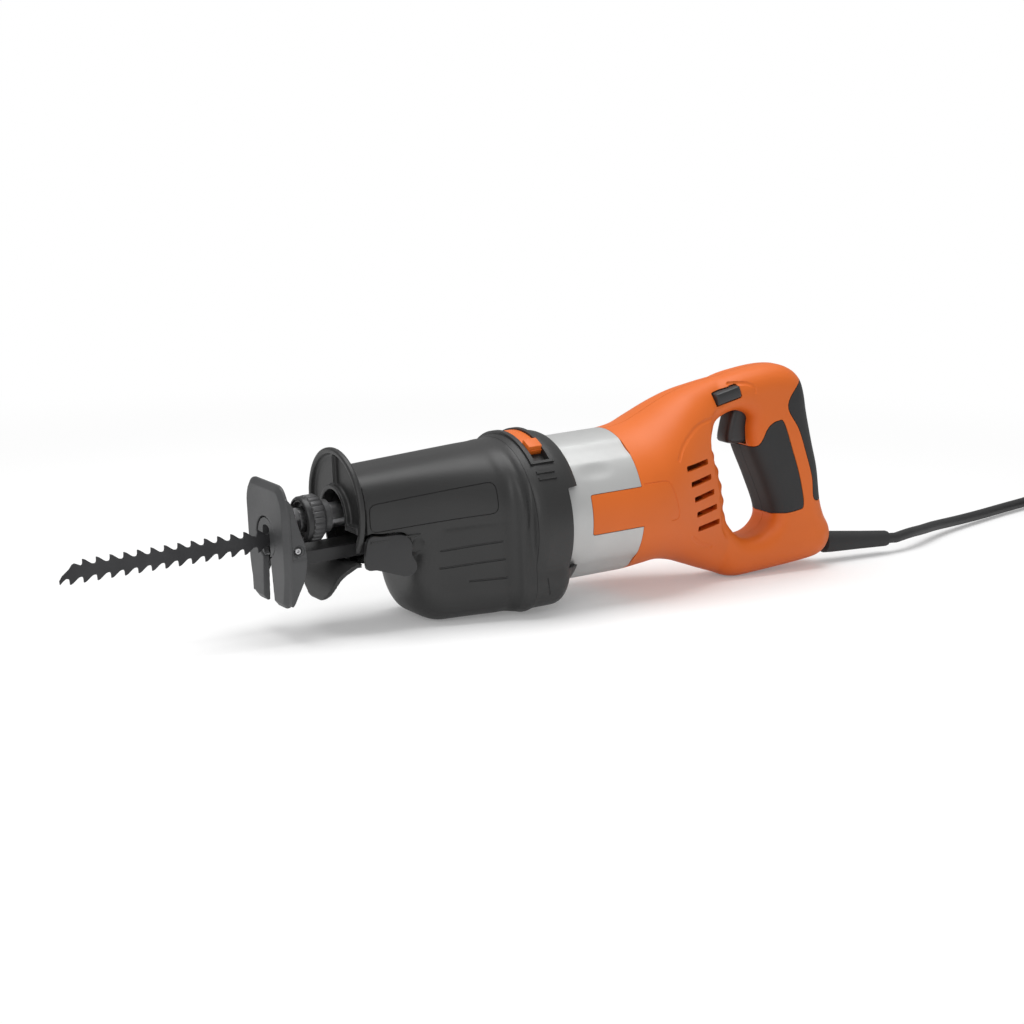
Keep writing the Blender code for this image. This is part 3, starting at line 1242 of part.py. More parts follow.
def make_lead(tool):
    axis = Vector((cos(RELIEF_DROOP), 0.0, -sin(RELIEF_DROOP)))
    base = Vector((RELIEF_START[0], 0.0, RELIEF_START[1]))
    tip = base + axis * (RELIEF_LENGTH + GAP)
    start = tool.matrix_world @ tip
    after = tool.matrix_world @ (tip + axis * CORD_DIAMETER)
    coil = coil_path()
    meeting = coil[0] - Vector((GAP, 0.0, 0.0))
    before = meeting - Vector((CORD_DIAMETER, 0.0, 0.0))
    route = [after] + [Vector(point) for point in mm_points(LEAD_ROUTE)] + [before]
    cord("cord_lead", [start] + open_curve(route) + [meeting], 2)
    cord("cord_coil", coil, 1)
    print("least gap in the coil, mm:", round(least_gap(coil) / MM, 2))
    return coil


def make_tie():
    wall = TIE_THICKNESS
    inner = COIL_INNER_RADIUS - TIE_SLACK
    outer = COIL_INNER_RADIUS + COIL_STEP * COIL_TURNS / 2 + TIE_SLACK + CORD_DIAMETER / 2
    bottom = COIL_FLOOR - GAP
    top = COIL_FLOOR + COIL_LAYER + CORD_DIAMETER + GAP
    half = TIE_WIDTH / 2
    low = inner - CORD_DIAMETER / 2
    tie = box("coil_tie", (low - wall, -half, bottom - wall), (outer + wall, half, top + wall))
    cut(tie, box("cutter", (low, -TIE_WIDTH, bottom), (outer, TIE_WIDTH, top)))
    tie.data.transform(Matrix.Rotation(TIE_ANGLE, 4, "Z"))
    tie.data.transform(Matrix.Translation((*COIL_CENTER, 0.0)))


def make_plug(end):
    front = end.y - GAP
    neck, flare = PLUG_NECK_RADIUS, PLUG_NECK_RADIUS * 1.2
    shares = (
        (0.0, neck, neck), (0.35, flare, flare), (0.6, PLUG_HALF_WIDTH, PLUG_HALF_HEIGHT),
        (1.0, PLUG_HALF_WIDTH, PLUG_HALF_HEIGHT),
    )
    rings = []
    for share, wide, high in shares:
        ring = section(0.0, wide, end.z + high, end.z - high, 2.6, 16)
        rings.append([(end.x + across, front - PLUG_LENGTH * share, up) for _, across, up in ring])
    plug = loft("plug_body", rings)
    face = front - PLUG_LENGTH
    for side, name in ((-1, "left"), (1, "right")):
        center = (end.x + side * PLUG_PIN_SPACING / 2, end.z)
        cut(plug, rod("cutter", "Y", face - GAP, face + PLUG_SOCKET, PLUG_PIN_RADIUS + GAP, 16, center))
        seat = face + PLUG_SOCKET - GAP
        rod(f"plug_pin_{name}", "Y", face - PLUG_PIN_LENGTH, seat, PLUG_PIN_RADIUS, 16, center)


# Looks and assembly

SHARP = radians(35.0)

# Base colour, roughness and metalness of each kind of surface
FINISHES = {
    "orange plastic": ((0.73, 0.147, 0.023), 0.42, 0.0),
    "black plastic": ((0.03, 0.03, 0.031), 0.5, 0.0),
    "black rubber": ((0.026, 0.026, 0.027), 0.75, 0.0),
    "silver paint": ((0.5, 0.505, 0.5), 0.38, 0.6),
    "grey casting": ((0.1, 0.1, 0.102), 0.5, 0.5),
    "dark steel": ((0.055, 0.056, 0.06), 0.4, 0.8),
    "bright steel": ((0.55, 0.55, 0.56), 0.3, 1.0),
    "brass": ((0.62, 0.43, 0.17), 0.32, 1.0),
    "copper": ((0.68, 0.31, 0.16), 0.35, 1.0),
    "carbon": ((0.02, 0.02, 0.021), 0.8, 0.0),
}
SURFACES = {
    "saw_blade": "dark steel", "plunger": "bright steel", "clamp_collar": "dark steel",
    "clamp_retainer": "bright steel", "clamp_pin": "bright steel", "shoe_plate": "grey casting",
    "shoe_bracket": "grey casting", "shoe_pivot_left": "bright steel",
    "shoe_pivot_right": "bright steel", "finger_guard": "black plastic",
    "casing_left": "black plastic", "casing_right": "black plastic", "shoe_lever": "black plastic",
    "lever_pin": "bright steel", "collar_band": "black plastic", "selector_slider": "orange plastic",
    "gear_frame": "grey casting", "front_bush": "brass", "rear_bush": "brass", "gear_post": "bright steel",
    "crown_gear": "dark steel", "motor_housing": "silver paint", "armature_shaft": "bright steel",
    "armature_core": "dark steel", "commutator": "copper", "cooling_fan": "black plastic",
    "front_bearing": "bright steel", "rear_bearing": "bright steel", "stator": "dark steel",
    "brush_bridge": "black plastic", "brush_holder_left": "brass", "brush_holder_right": "brass",
    "brush_left": "carbon", "brush_right": "carbon", "handle_left": "orange plastic",
    "handle_right": "orange plastic", "grip_front_left": "black rubber", "grip_front_right": "black rubber",
    "grip_rear_left": "black rubber", "grip_rear_right": "black rubber", "trigger": "black plastic",
    "trigger_pin": "bright steel", "switch_body": "black plastic", "lock_button": "black plastic",
    "strain_relief": "black rubber", "cord_lead": "black rubber", "cord_coil": "black rubber",
    "coil_tie": "black plastic", "plug_body": "black rubber", "plug_pin_left": "bright steel",
    "plug_pin_right": "bright steel",
}
LEAD_NODES = {"strain_relief"}


def paint(item):
    kind = SURFACES.get(item.name, "dark steel")
    color, roughness, metalness = FINISHES[kind]
    material = bpy.data.materials.new(f"{item.name} {kind}")
    material.use_nodes = True
    shader = material.node_tree.nodes["Principled BSDF"]
    shader.inputs["Base Color"].default_value = (*color, 1.0)
    shader.inputs["Roughness"].default_value = roughness
    shader.inputs["Metallic"].default_value = metalness
    material.diffuse_color = (*color, 1.0)
    item.data.materials.clear()
    item.data.materials.append(material)


def finish_mesh(item):
    """Merge what the cuts left doubled and shade round faces smooth."""
    work = bmesh.new()
    work.from_mesh(item.data)
    bmesh.ops.remove_doubles(work, verts=work.verts, dist=MM / 500)
    bmesh.ops.dissolve_degenerate(work, edges=work.edges, dist=MM / 500)
    work.to_mesh(item.data)
    work.free()
    item.data.shade_smooth()
    item.data.set_sharp_from_angle(angle=SHARP)


def joint_places():
    """Where the moving pieces turn or slide, in the saw's own frame."""
    plunger = (0.0, 0.0, PLUNGER_Z)
    shaft = (0.0, 0.0, 0.0)
    pivot = (PIVOT_X, 0.0, PIVOT_Z)
    places = {}
    for name in ("plunger", "saw_blade", "clamp_collar", "clamp_retainer", "clamp_pin"):
        places[name] = plunger
    for name in ("armature_shaft", "armature_core", "commutator", "cooling_fan", "selector_slider"):
        places[name] = shaft
    for name in ("shoe_plate", "shoe_bracket", "shoe_pivot_left", "shoe_pivot_right"):
        places[name] = pivot
    places["crown_gear"] = (GEAR_X, 0.0, GEAR_TOP)
    places["shoe_lever"] = (LEVER_FRONT, *lever_axis())
    places["trigger"] = (TRIGGER_PIN[0], 0.0, TRIGGER_PIN[1])
    places["lock_button"] = (BUTTON_X, -BUTTON_OUT, BUTTON_Z)
    return places


def lowest(item, pitch):
    return min(point.co.x * sin(pitch) + point.co.z * cos(pitch) for point in item.data.vertices)


def standing_pitch():
    """The nose-down angle at which the chin and the heel of the handle stand level."""
    chin, heel = bpy.data.objects["casing_left"], bpy.data.objects["handle_left"]
    low, high = 0.0, radians(10.0)
    for _ in range(40):
        middle = (low + high) / 2
        if lowest(chin, middle) > lowest(heel, middle):
            low = middle
        else:
            high = middle
    return (low + high) / 2


def stand_up():
    """Hang the pieces on one empty that tips the saw and puts the origin under its middle."""
    tool = bpy.data.objects.new("saw_frame", None)
    bpy.context.scene.collection.objects.link(tool)
    pitch = standing_pitch()
    tool.rotation_euler = (0.0, -pitch, 0.0)
    turn = Matrix.Rotation(-pitch, 4, "Y")
    pieces = [item for item in bpy.data.objects if item.type == "MESH"]
    saw = [item for item in pieces if item.name not in LEAD_NODES]
    corners = [turn @ point.co for item in saw for point in item.data.vertices]
    ends = [[pick(corner[axis] for corner in corners) for pick in (min, max)] for axis in range(3)]
    tool.location = (-sum(ends[0]) / 2, -sum(ends[1]) / 2, -ends[2][0])
    places = joint_places()
    for item in pieces:
        place = Vector(places.get(item.name, (0.0, 0.0, 0.0)))
        item.data.transform(Matrix.Translation(-place))
        item.location = place
        item.parent = tool
    bpy.context.view_layer.update()
    print("pitch, degrees:", round(pitch / radians(1.0), 3))
    print("frame at, mm:", [round(value / MM, 2) for value in tool.location])
    return tool


def build():
    clear_scene()
    make_blade()
    make_plunger()
    make_clamp()
    make_shoe()
    make_bracket()
    make_guard()
    make_casing()
    make_lever()
    make_band()
    make_gear_frame()
    make_crown_gear()
    make_motor_housing()
    make_armature()
    make_stator_and_brushes()
    make_handle()
    make_controls()
    make_relief()
    tool = stand_up()
    coil = make_lead(tool)
    make_tie()
    make_plug(coil[-1])
    for item in list(bpy.data.objects):
        if item.type == "MESH":
            finish_mesh(item)
        if item.type != "EMPTY":
            paint(item)


build()
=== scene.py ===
"""A corded reciprocating saw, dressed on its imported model.

Shapes are drawn in the saw's own frame in millimetres: the motor axis is X, the blade points
along -X and the saw's left side is at -Y. TOOL sets them into the standing frame in metres.
"""
import json
from math import atan2, cos, hypot, pi, radians, sin

import bmesh
import bpy
from mathutils import Matrix, Vector
from mathutils.bvhtree import BVHTree


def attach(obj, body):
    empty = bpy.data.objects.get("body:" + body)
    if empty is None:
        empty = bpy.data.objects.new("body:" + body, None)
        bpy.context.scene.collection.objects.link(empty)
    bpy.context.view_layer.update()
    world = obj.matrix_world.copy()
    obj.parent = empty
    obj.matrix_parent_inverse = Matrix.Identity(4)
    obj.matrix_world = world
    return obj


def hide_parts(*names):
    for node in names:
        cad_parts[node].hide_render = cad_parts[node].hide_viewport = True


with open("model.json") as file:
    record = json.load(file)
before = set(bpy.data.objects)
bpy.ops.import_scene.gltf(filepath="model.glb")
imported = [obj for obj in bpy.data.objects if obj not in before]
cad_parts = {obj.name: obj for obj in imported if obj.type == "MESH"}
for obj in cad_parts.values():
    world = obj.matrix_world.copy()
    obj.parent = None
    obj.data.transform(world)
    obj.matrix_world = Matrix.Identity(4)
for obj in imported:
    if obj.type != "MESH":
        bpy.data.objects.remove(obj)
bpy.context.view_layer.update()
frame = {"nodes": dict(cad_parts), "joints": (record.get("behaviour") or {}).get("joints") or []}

MM = 0.001
JOINTS = {joint["name"]: joint for joint in frame["joints"]}
MOTOR_AXIS = Vector(JOINTS["motor_spin"]["axis"])
STAND = Matrix.Translation(JOINTS["motor_spin"]["pos_m"])
TIP = Matrix.Rotation(atan2(-MOTOR_AXIS.z, MOTOR_AXIS.x), 4, "Y")
TOOL = STAND @ TIP @ Matrix.Scale(MM, 4)

# Sizes shared with the part, in millimetres
GAP = 0.3
MOTOR_RADIUS = 48.0
MOTOR_FRONT = -52.0
SEAM_X = 8.5
TONGUE = (-30.5, -10.5, 15.5)
PLUNGER_Z = 20.0
PLUNGER_RADIUS = 8.0
GUARD_X = -189.5
GUARD_RADIUS = 37.3
GUARD_Z = 25.0
NOSE_FRONT = -185.7
NOSE_END = -64.0
CASING_REAR = -74.6
CASING_REAR_RADIUS = 53.0
NOSE_HALF_WIDTH = 31.0
NOSE_TOP = 47.5
NOSE_BOTTOM = -14.5
NOSE_SQUARENESS = 3.2
NOSE_TAPER = 0.3
CHIN_FRONT = -151.0
CHIN_BOTTOM = -56.4
CHIN_TOP = 6.0
CHIN_ROUND = 22.0
CHIN_CORNER = 22.0
FOOT_CORNER = 10.0
CHIN_MIDDLE = -100.0
SCOOP_PLACE = (-151.0, -36.5)
SCOOP_PROFILE = [(-19.0, 0.5), (-17.0, 5.0), (-11.0, 8.0), (-4.0, 8.6), (1.0, 7.0), (5.0, 3.5), (6.5, 0.5)]
BAND_RADIUS = 55.5
BAND_REAR = -46.5
BAND_STEP = -49.6
BAND_PROFILE = [
    (-79.0, 40.0), (-76.6, 48.4), (-75.2, 51.8), (-74.0, 53.2), (-72.0, 54.2), (-68.0, 55.2), (-54.0, 54.9),
    (-49.0, 54.4), (-44.0, 53.2), (-41.0, 51.8), (-40.2, 50.6), (-40.2, 40.0),
]
BAND_TABS = (24.0, -29.6)
SLOT_FRONT = -67.0
SLOT_WIDTH = 11.0
SLOT_FROM, SLOT_TO = radians(-42.0), radians(41.6)
SLIDER_FROM, SLIDER_TO = radians(-12.0), radians(31.6)
HANDLE_HALF = 19.0
HANDLE_ROUND = 15.0
HOLE_ROUND = 10.0
SHELL_WALL = 3.0
RELIEF_START = Vector((172.0, 0.0, -56.5))
RELIEF_DROOP = radians(6.3)
RELIEF_LENGTH = 72.0
CORD_DIAMETER = 7.5
COIL_CENTER = (592.0, 30.0)
COIL_INNER_RADIUS = 30.0
COIL_STEP = 8.3
COIL_LAYER = 8.2
COIL_TURNS = 6.25
COIL_FLOOR = 1.4
COIL_TAIL = 46.0
WAVE = 0.8
VENT_LENGTH = 23.0
VENT_HEIGHT = 3.9
VENT_PITCH = 11.0
VENT_COUNT = 5
VENT_TILT = radians(2.0)
VENT_X = 64.6
VENT_Z = -0.6
VENT_LEAN = 3.2
BUTTON_X = 96.5
BUTTON_Z = 61.0
BUTTON_LENGTH = 20.0
BUTTON_HEIGHT = 8.0
BUTTON_OUT = 20.2
BUTTON_DEPTH = 9.0
BUTTON_TILT = radians(11.0)
SCREW_RADIUS = 2.0
SCREW_HEAD_RADIUS = 3.6
SCREW_HEAD = 2.5
GRIP_DEPTH = 2.5
GRIP_GAP = 0.5
TONGUE_GAP = 0.45
LEVER_GAP = 1.7
LIP_FRONT = -208.0
LIP_BOTTOM = -32.0
LIP_HALF_WIDTH = 26.0
SHOE_FACE = -240.5
SHOE_BACK = -236.0
SHOE_TOP = 48.0
SHOE_BOTTOM = -30.0
SHOE_HALF_TOP = 22.0
SHOE_HALF_BOTTOM = 24.0
SHOE_HALF_WIDTH = 29.0
SHOE_HOLE_RADIUS = 13.6
SHOE_HOLE_Z = 12.5
SHOE_SLOT = (5.2, 8.0)
CHEEK_INNER = 20.8
CHEEK_OUTER = 28.2
PIVOT_X = -231.0
PIVOT_Z = 7.0
PIVOT_PIN_RADIUS = 2.2
COLLAR_RADIUS = 15.0
COLLAR_FRONT = -216.0
COLLAR_RIBS = 23
PLUNGER_FRONT = -219.0
BLADE_TIP = -376.0
BLADE_Z = 10.8
BLADE_WIDTH = 14.6
BLADE_START = -222.0
TOOTH_PITCH = 8.8
TOOTH_DEPTH = 3.8
FIRST_TOOTH = -360.7
TEETH = 16

HANDLE_OUTLINE = [
    (84, 60), (98, 71), (125, 75.3), (144, 75.2), (155, 71.5), (162.5, 64.5), (166, 54), (168, 40),
    (172, 19), (176, 0), (178, -22), (181, -34), (185, -42), (186, -50), (183, -57.5), (177, -63),
    (164, -65.8), (118, -68.2), (103, -68.0), (92, -63.5), (82, -50), (78, -20), (78, 35),
]
HOLE_OUTLINE = [
    (91, 44), (87.5, 37), (86.4, 28.5), (88.5, 18.5), (91.5, 8.5), (94.5, -7), (95.3, -20), (98, -29),
    (108, -40), (120, -42), (130.5, -38), (135.6, -28), (128, -5), (118, 20), (116.5, 34), (117, 44),
    (105, 48.5),
]
TRIGGER_OUTLINE = [
    (108, 47), (104.6, 37), (102.8, 28.5), (105, 25), (117.6, 24), (122.7, 27.5), (124.6, 38), (124.6, 50),
    (121, 54), (112, 53.5),
]
GRIP_FRONT_OUTLINE = [
    (128, 33), (132, 36.5), (137, 38), (142, 36), (148.7, 15.4), (154, -3), (157, -23), (152, -26.2),
    (138, -26.8), (128, -25), (106, 21.5), (115.4, 21.8), (122, 23),
]
GRIP_REAR_OUTLINE = [
    (158, 62), (178, 62), (190, -22.5), (174, -22.3), (166.5, -20), (165.4, -5), (160.3, 13.5),
    (154.7, 30.4), (146, 48),
]
BODY_STATIONS = [
    (-8, 48, 48, -48, 2.0), (8.5, 48, 48, -48, 2.0), (24, 47.3, 50.2, -46.5, 2.05),
    (37, 45.5, 55.2, -45.4, 2.15), (52, 41, 61.7, -48.2, 2.25), (66, 34.5, 66.5, -53.6, 2.4),
    (80, 27.5, 69.2, -59.4, 2.6), (94, 21.5, 71.3, -64.6, 2.8), (106, 16.5, 72.5, -67, 3.0),
]
LEVER_OUTLINE = [
    (-185.4, 8.2), (-175, 8.6), (-163, 8), (-158, 5), (-156, 0), (-156.6, -5), (-153.4, -12), (-154, -17),
    (-160, -19.3), (-170, -16), (-180, -12.4), (-187.6, -9.6),
]
PANEL_CORNERS = [(-183, 11.6), (-97, 13.6), (-97, 33.4), (-183, 29.2)]
CASING_LINES = [
    [(-136, -6.6), (-115, -5.8), (-95, -5.1)], [(-137, -17.9), (-115, -17.4), (-94, -16.9)],
    [(-118, -28.6), (-106, -29), (-93, -29.2)],
]
CHEEK_OUTLINE = [
    (-2.2, 42), (2.4, 36.4), (6.9, 18.1), (9.5, 11.5), (10.2, 3.3), (10, -0.2), (8.3, -10.7), (5.1, -16.4),
    (0, -26), (-2.2, -28),
]
SOFT_LINES = [
    [(81, 48.7), (68, 47.5), (56, 42.6), (47, 36), (41, 28)], [(100, 69), (111.7, 68.2), (117.9, 65.2), (119, 60)],
    [(55.6, -28.6), (63.6, -35), (77, -40.5)],
]
FINE_LINES = [[(11, 17), (20, 17), (29, 16.5), (32.6, 10.7), (36.5, -1), (38, -8.6), (35.5, -10.6), (32, -10.5)]]
LEAD_ROUTE = [
    (365, 5, 11.2), (382, 13, 10.2), (402, 24, 8.8), (421, 33, 7.4), (442, 41.5, 6.3),
    (470, 52, 5.5), (499, 62.5, 5.2), (530, 72.5, 5.2), (556, 81.5, 5.2),
]


# Camera

CAMERA_PLACE = Vector((-0.8039, -1.4442, 0.4041))
CAMERA_AZIMUTH = radians(-30.0)
CAMERA_ELEVATION = radians(11.6)
CAMERA_LENS = 91.4


def make_camera():
    data = bpy.data.cameras.new("camera")
    data.lens = CAMERA_LENS
    data.sensor_width = 36.0
    data.clip_start = 0.05
    data.clip_end = 60.0
    camera = bpy.data.objects.new("camera", data)
    bpy.context.scene.collection.objects.link(camera)
    flat = cos(CAMERA_ELEVATION)
    back = Vector((sin(CAMERA_AZIMUTH) * flat, -cos(CAMERA_AZIMUTH) * flat, sin(CAMERA_ELEVATION)))
    camera.location = CAMERA_PLACE
    camera.rotation_mode = "QUATERNION"
    camera.rotation_quaternion = (-back).to_track_quat("-Z", "Y")
    bpy.context.scene.camera = camera


make_camera()


# Meshes

def mesh_item(name, points, faces):
    mesh = bpy.data.meshes.new(name)
    mesh.from_pydata([tuple(point) for point in points], [], faces)
    work = bmesh.new()
    work.from_mesh(mesh)
    bmesh.ops.recalc_face_normals(work, faces=work.faces)
    work.to_mesh(mesh)
    work.free()
    item = bpy.data.objects.new(name, mesh)
    bpy.context.scene.collection.objects.link(item)
    return item


def loft(name, rings, hollow=False):
    """Skin a row of rings with equal counts; a hollow one runs back into its first ring."""
    count = len(rings[0])
    points = [point for ring in rings for point in ring]
    faces = []
    for row in range(len(rings) if hollow else len(rings) - 1):
        start, following = row * count, (row + 1) % len(rings) * count
        for step in range(count):
            after = (step + 1) % count
            faces.append((start + step, start + after, following + after, following + step))
    if not hollow:
        faces.append(tuple(range(count)))
        faces.append(tuple(range(len(points) - count, len(points))))
    return mesh_item(name, points, faces)


def turned(name, axis, profile, sides=64, center=(0.0, 0.0), hollow=False):
    """A lathe shape; center is its place on the two other axes, in order."""
    rings = []
    for along, radius in profile:
        ring = []
        for step in range(sides):
            turn = 2 * pi * (step + 0.5) / sides
            u, v = center[0] + radius * sin(turn), center[1] + radius * cos(turn)
            ring.append({"X": (along, u, v), "Y": (u, along, v), "Z": (u, v, along)}[axis])
        rings.append(ring)
    return loft(name, rings, hollow)


def rod(name, axis, start, end, radius, sides=48, center=(0.0, 0.0), edge=0.0):
    """A round bar with softened ends."""
    if not edge:
        return turned(name, axis, [(start, radius), (end, radius)], sides, center)
    profile = [(start + edge * (1 - sin(a)), radius - edge * (1 - cos(a))) for a in (pi / 2, pi / 4, 0.0)]
    profile += [(end - edge * (1 - sin(a)), radius - edge * (1 - cos(a))) for a in (0.0, pi / 4, pi / 2)]
    return turned(name, axis, profile, sides, center)


def box(name, low, high):
    ring = [(low[1], low[2]), (high[1], low[2]), (high[1], high[2]), (low[1], high[2])]
    return loft(name, [[(x, y, z) for y, z in ring] for x in (low[0], high[0])])


def prism(name, outline, start, end):
    """An X-Z outline drawn out along Y."""
    return loft(name, [[(x, y, z) for x, z in outline] for y in (start, end)])


def smooth_loop(points, steps=6):
    """More points on a closed smooth curve through the given ones."""
    loop = []
    count = len(points)
    for index in range(count):
        a, b, c, d = (Vector(points[(index + k - 1) % count]) for k in range(4))
        for step in range(steps):
            t = step / steps
            loop.append(tuple(0.5 * (2 * b + (c - a) * t + (2 * a - 5 * b + 4 * c - d) * t ** 2
                                     + (3 * b - a - 3 * c + d) * t ** 3)))
    return loop


def smooth_row(points, steps=6):
    """More points on an open smooth curve through the given ones."""
    padded = [points[0], *points, points[-1]]
    row = []
    for index in range(len(points) - 1):
        a, b, c, d = (Vector(padded[index + k]) for k in range(4))
        for step in range(steps):
            t = step / steps
            row.append(0.5 * (2 * b + (c - a) * t + (2 * a - 5 * b + 4 * c - d) * t ** 2
                              + (3 * b - a - 3 * c + d) * t ** 3))
    return row + [Vector(points[-1])]


def soft_corners(points, radius, steps=5):
    """A closed outline with each corner rounded by about a radius."""
    loop = []
    count = len(points)
    for index in range(count):
        here = Vector(points[index])
        before, after = Vector(points[index - 1]) - here, Vector(points[(index + 1) % count]) - here
        reach = min(radius, 0.45 * before.length, 0.45 * after.length)
        start, end = here + before.normalized() * reach, here + after.normalized() * reach
        for step in range(steps + 1):
            t = step / steps
            loop.append(tuple((1 - t) ** 2 * start + 2 * t * (1 - t) * here + t ** 2 * end))
    return loop


def shrink(outline, distance):
    """Move a closed outline inwards by a distance, less where it would cross itself."""
    count = len(outline)
    spots = [Vector(point) for point in outline]
    area = sum(spots[i - 1].x * spots[i].y - spots[i].x * spots[i - 1].y for i in range(count))
    side = 1.0 if area > 0 else -1.0
    moved = []
    for index in range(count):
        before = spots[index] - spots[index - 1]
        after = spots[(index + 1) % count] - spots[index]
        normals = [side * Vector((-edge.y, edge.x)).normalized() for edge in (before, after)]
        middle = (normals[0] + normals[1]).normalized()
        reach = distance / max(0.5, middle.dot(normals[0]))
        if distance > 0:
            room = 500.0
            for other in spots:
                depth = (other - spots[index]).dot(middle)
                if depth > 0:
                    room = min(room, (other - spots[index]).length_squared / (2 * depth))
            reach = min(reach, 0.85 * room)
        moved.append(tuple(spots[index] + middle * reach))
    return moved


def plate(name, outline, half, rounding, inset=0.0, steps=6):
    """An X-Z outline drawn out to both sides of the middle plane, with rounded edges."""
    rings = []
    edge = [pi / 2 * step / steps for step in range(steps + 1)]
    for side, angle in [(-1, angle) for angle in reversed(edge)] + [(1, angle) for angle in edge]:
        y = side * (half - inset - rounding + rounding * sin(angle))
        ring = shrink(outline, inset + rounding * (1 - cos(angle)))
        rings.append([(x, y, z) for x, z in ring])
    return loft(name, rings)


def flared_hole(name, outline, half, rounding, inset=0.0, steps=6):
    """The cutter for a hole whose rims are rounded on both faces."""
    rings = []
    edge = [pi / 2 * step / steps for step in range(steps + 1)]
    for side, angle in [(-1, angle) for angle in reversed(edge)] + [(1, angle) for angle in edge]:
        ring = shrink(outline, -inset - rounding * (1 - cos(angle)))
        level = side * (half - inset - rounding + rounding * sin(angle))
        rings.append([(x, level, z) for x, z in ring])
    beyond = MOTOR_RADIUS + 8
    rings.insert(0, [(x, -beyond, z) for x, _, z in rings[0]])
    rings.append([(x, beyond, z) for x, _, z in rings[-1]])
    return loft(name, rings)


def section(x, half_width, top, bottom, power, sides):
    """A ring square to X: an ellipse at power 2, squarer above that."""
    ring = []
    middle, half_height = (top + bottom) / 2, (top - bottom) / 2
    for step in range(sides):
        turn = 2 * pi * (step + 0.5) / sides
        u, v = sin(turn), cos(turn)
        y = half_width * abs(u) ** (2 / power) * (1 if u > 0 else -1)
        z = half_height * abs(v) ** (2 / power) * (1 if v > 0 else -1)
        ring.append((x, y, middle + z))
    return ring


def arc_block(name, x_range, r_range, turn_range, steps=24):
    """A curved block round the X axis; turns run from +Z towards the left side."""
    rings = []
    for step in range(steps + 1):
        turn = turn_range[0] + (turn_range[1] - turn_range[0]) * step / steps
        corners = [(x_range[0], r_range[0]), (x_range[1], r_range[0])]
        corners += [(x_range[1], r_range[1]), (x_range[0], r_range[1])]
        rings.append([(x, -r * sin(turn), r * cos(turn)) for x, r in corners])
    return loft(name, rings)


def tube_along(name, path, radius, sides=12, taper=None):
    """A round bar along a path, with domed ends; taper scales the radius along it."""
    rings = []
    count = len(path)
    spots = [Vector(point) for point in path]
    up = Vector((0.0, 1.0, 0.0))
    for index in range(count):
        ahead = (spots[min(index + 1, count - 1)] - spots[max(index - 1, 0)]).normalized()
        side = ahead.cross(up).normalized()
        out = side.cross(ahead)
        size = radius * (taper(index / (count - 1)) if taper else 1.0)
        turns = [2 * pi * step / sides for step in range(sides)]
        ring = [spots[index] + (side * cos(t) + out * sin(t)) * size for t in turns]
        if index == 0:
            rings.append([spots[0] - ahead * size * 0.7 + (p - spots[0]) * 0.5 for p in ring])
        rings.append(ring)
        if index == count - 1:
            rings.append([spots[-1] + ahead * size * 0.7 + (p - spots[-1]) * 0.5 for p in ring])
    return loft(name, rings)


def settle(item):
    """Make the result of the modifiers the piece's own mesh."""
    bpy.context.view_layer.update()
    shape = item.evaluated_get(bpy.context.evaluated_depsgraph_get())
    mesh = bpy.data.meshes.new_from_object(shape)
    item.modifiers.clear()
    item.data = mesh
    return item


def combine(target, others, operation, keep=False, solver="MANIFOLD"):
    for other in others:
        step = target.modifiers.new("combine", "BOOLEAN")
        step.operation = operation
        step.solver = solver
        step.object = other
        settle(target)
        if not keep:
            bpy.data.objects.remove(other, do_unlink=True)
    return target


def join(target, *others):
    return combine(target, others, "UNION")


def carve(target, *others, keep=False):
    return combine(target, others, "DIFFERENCE", keep)


def common(target, *others, keep=False):
    return combine(target, others, "INTERSECT", keep)


def twin(item, name):
    copy = item.copy()
    copy.data = item.data.copy()
    copy.name = name
    bpy.context.scene.collection.objects.link(copy)
    return copy


def remould(item, voxel, rounds):
    """Skin a shape afresh and soften it, so that its joins and edges become fillets."""
    step = item.modifiers.new("skin", "REMESH")
    step.mode = "VOXEL"
    step.voxel_size = voxel
    step.use_smooth_shade = True
    soften = item.modifiers.new("soften", "SMOOTH")
    soften.factor = 0.5
    soften.iterations = rounds
    return settle(item)


def round_edges(item, width, segments=2, angle=40.0):
    step = item.modifiers.new("edges", "BEVEL")
    step.width = width
    step.segments = segments
    step.limit_method = "ANGLE"
    step.angle_limit = radians(angle)
    step.harden_normals = False
    return settle(item)


def halves(whole, left_name, right_name):
    """Part a whole shell along the middle plane into its left and right halves."""
    right = twin(whole, right_name)
    far = 500.0
    for half, low, high in ((whole, -GAP / 2, far), (right, -far, GAP / 2)):
        cutter = box("cutter", (-far, low, -far), (far, high, far))
        combine(half, [cutter], "DIFFERENCE", solver="EXACT")
    whole.name = left_name
    return whole, right


def surface_of(item):
    return BVHTree.FromObject(item, bpy.context.evaluated_depsgraph_get())


def on_side(tree, x, z, side=-1):
    """Where a line along Y first meets a surface from the left or the right."""
    spot = tree.ray_cast(Vector((x, side * 200.0, z)), Vector((0.0, -side, 0.0)))[0]
    return spot if spot is not None else Vector((x, side * 30.0, z))


def groove(item, rows, radius, depth, taper=None):
    """Cut round-bottomed lines into the left and right faces of a shape."""
    tree = surface_of(item)
    for number, row in enumerate(rows):
        for side in (-1, 1):
            path = []
            for x, z in smooth_row([Vector(point) for point in row], 6):
                spot = on_side(tree, x, z, side)
                path.append(spot + Vector((0.0, side * (radius - depth), 0.0)))
            carve(item, tube_along(f"line {number}", path, radius, 12, taper))
    return item


def split_wide_faces(item):
    """Cut faces with many corners into triangles, so that a bent one isn't filled across its bay."""
    mesh = bmesh.new()
    mesh.from_mesh(item.data)
    wide = [face for face in mesh.faces if len(face.verts) > 4]
    bmesh.ops.triangulate(mesh, faces=wide)
    mesh.to_mesh(item.data)
    mesh.free()
    item.data.validate()


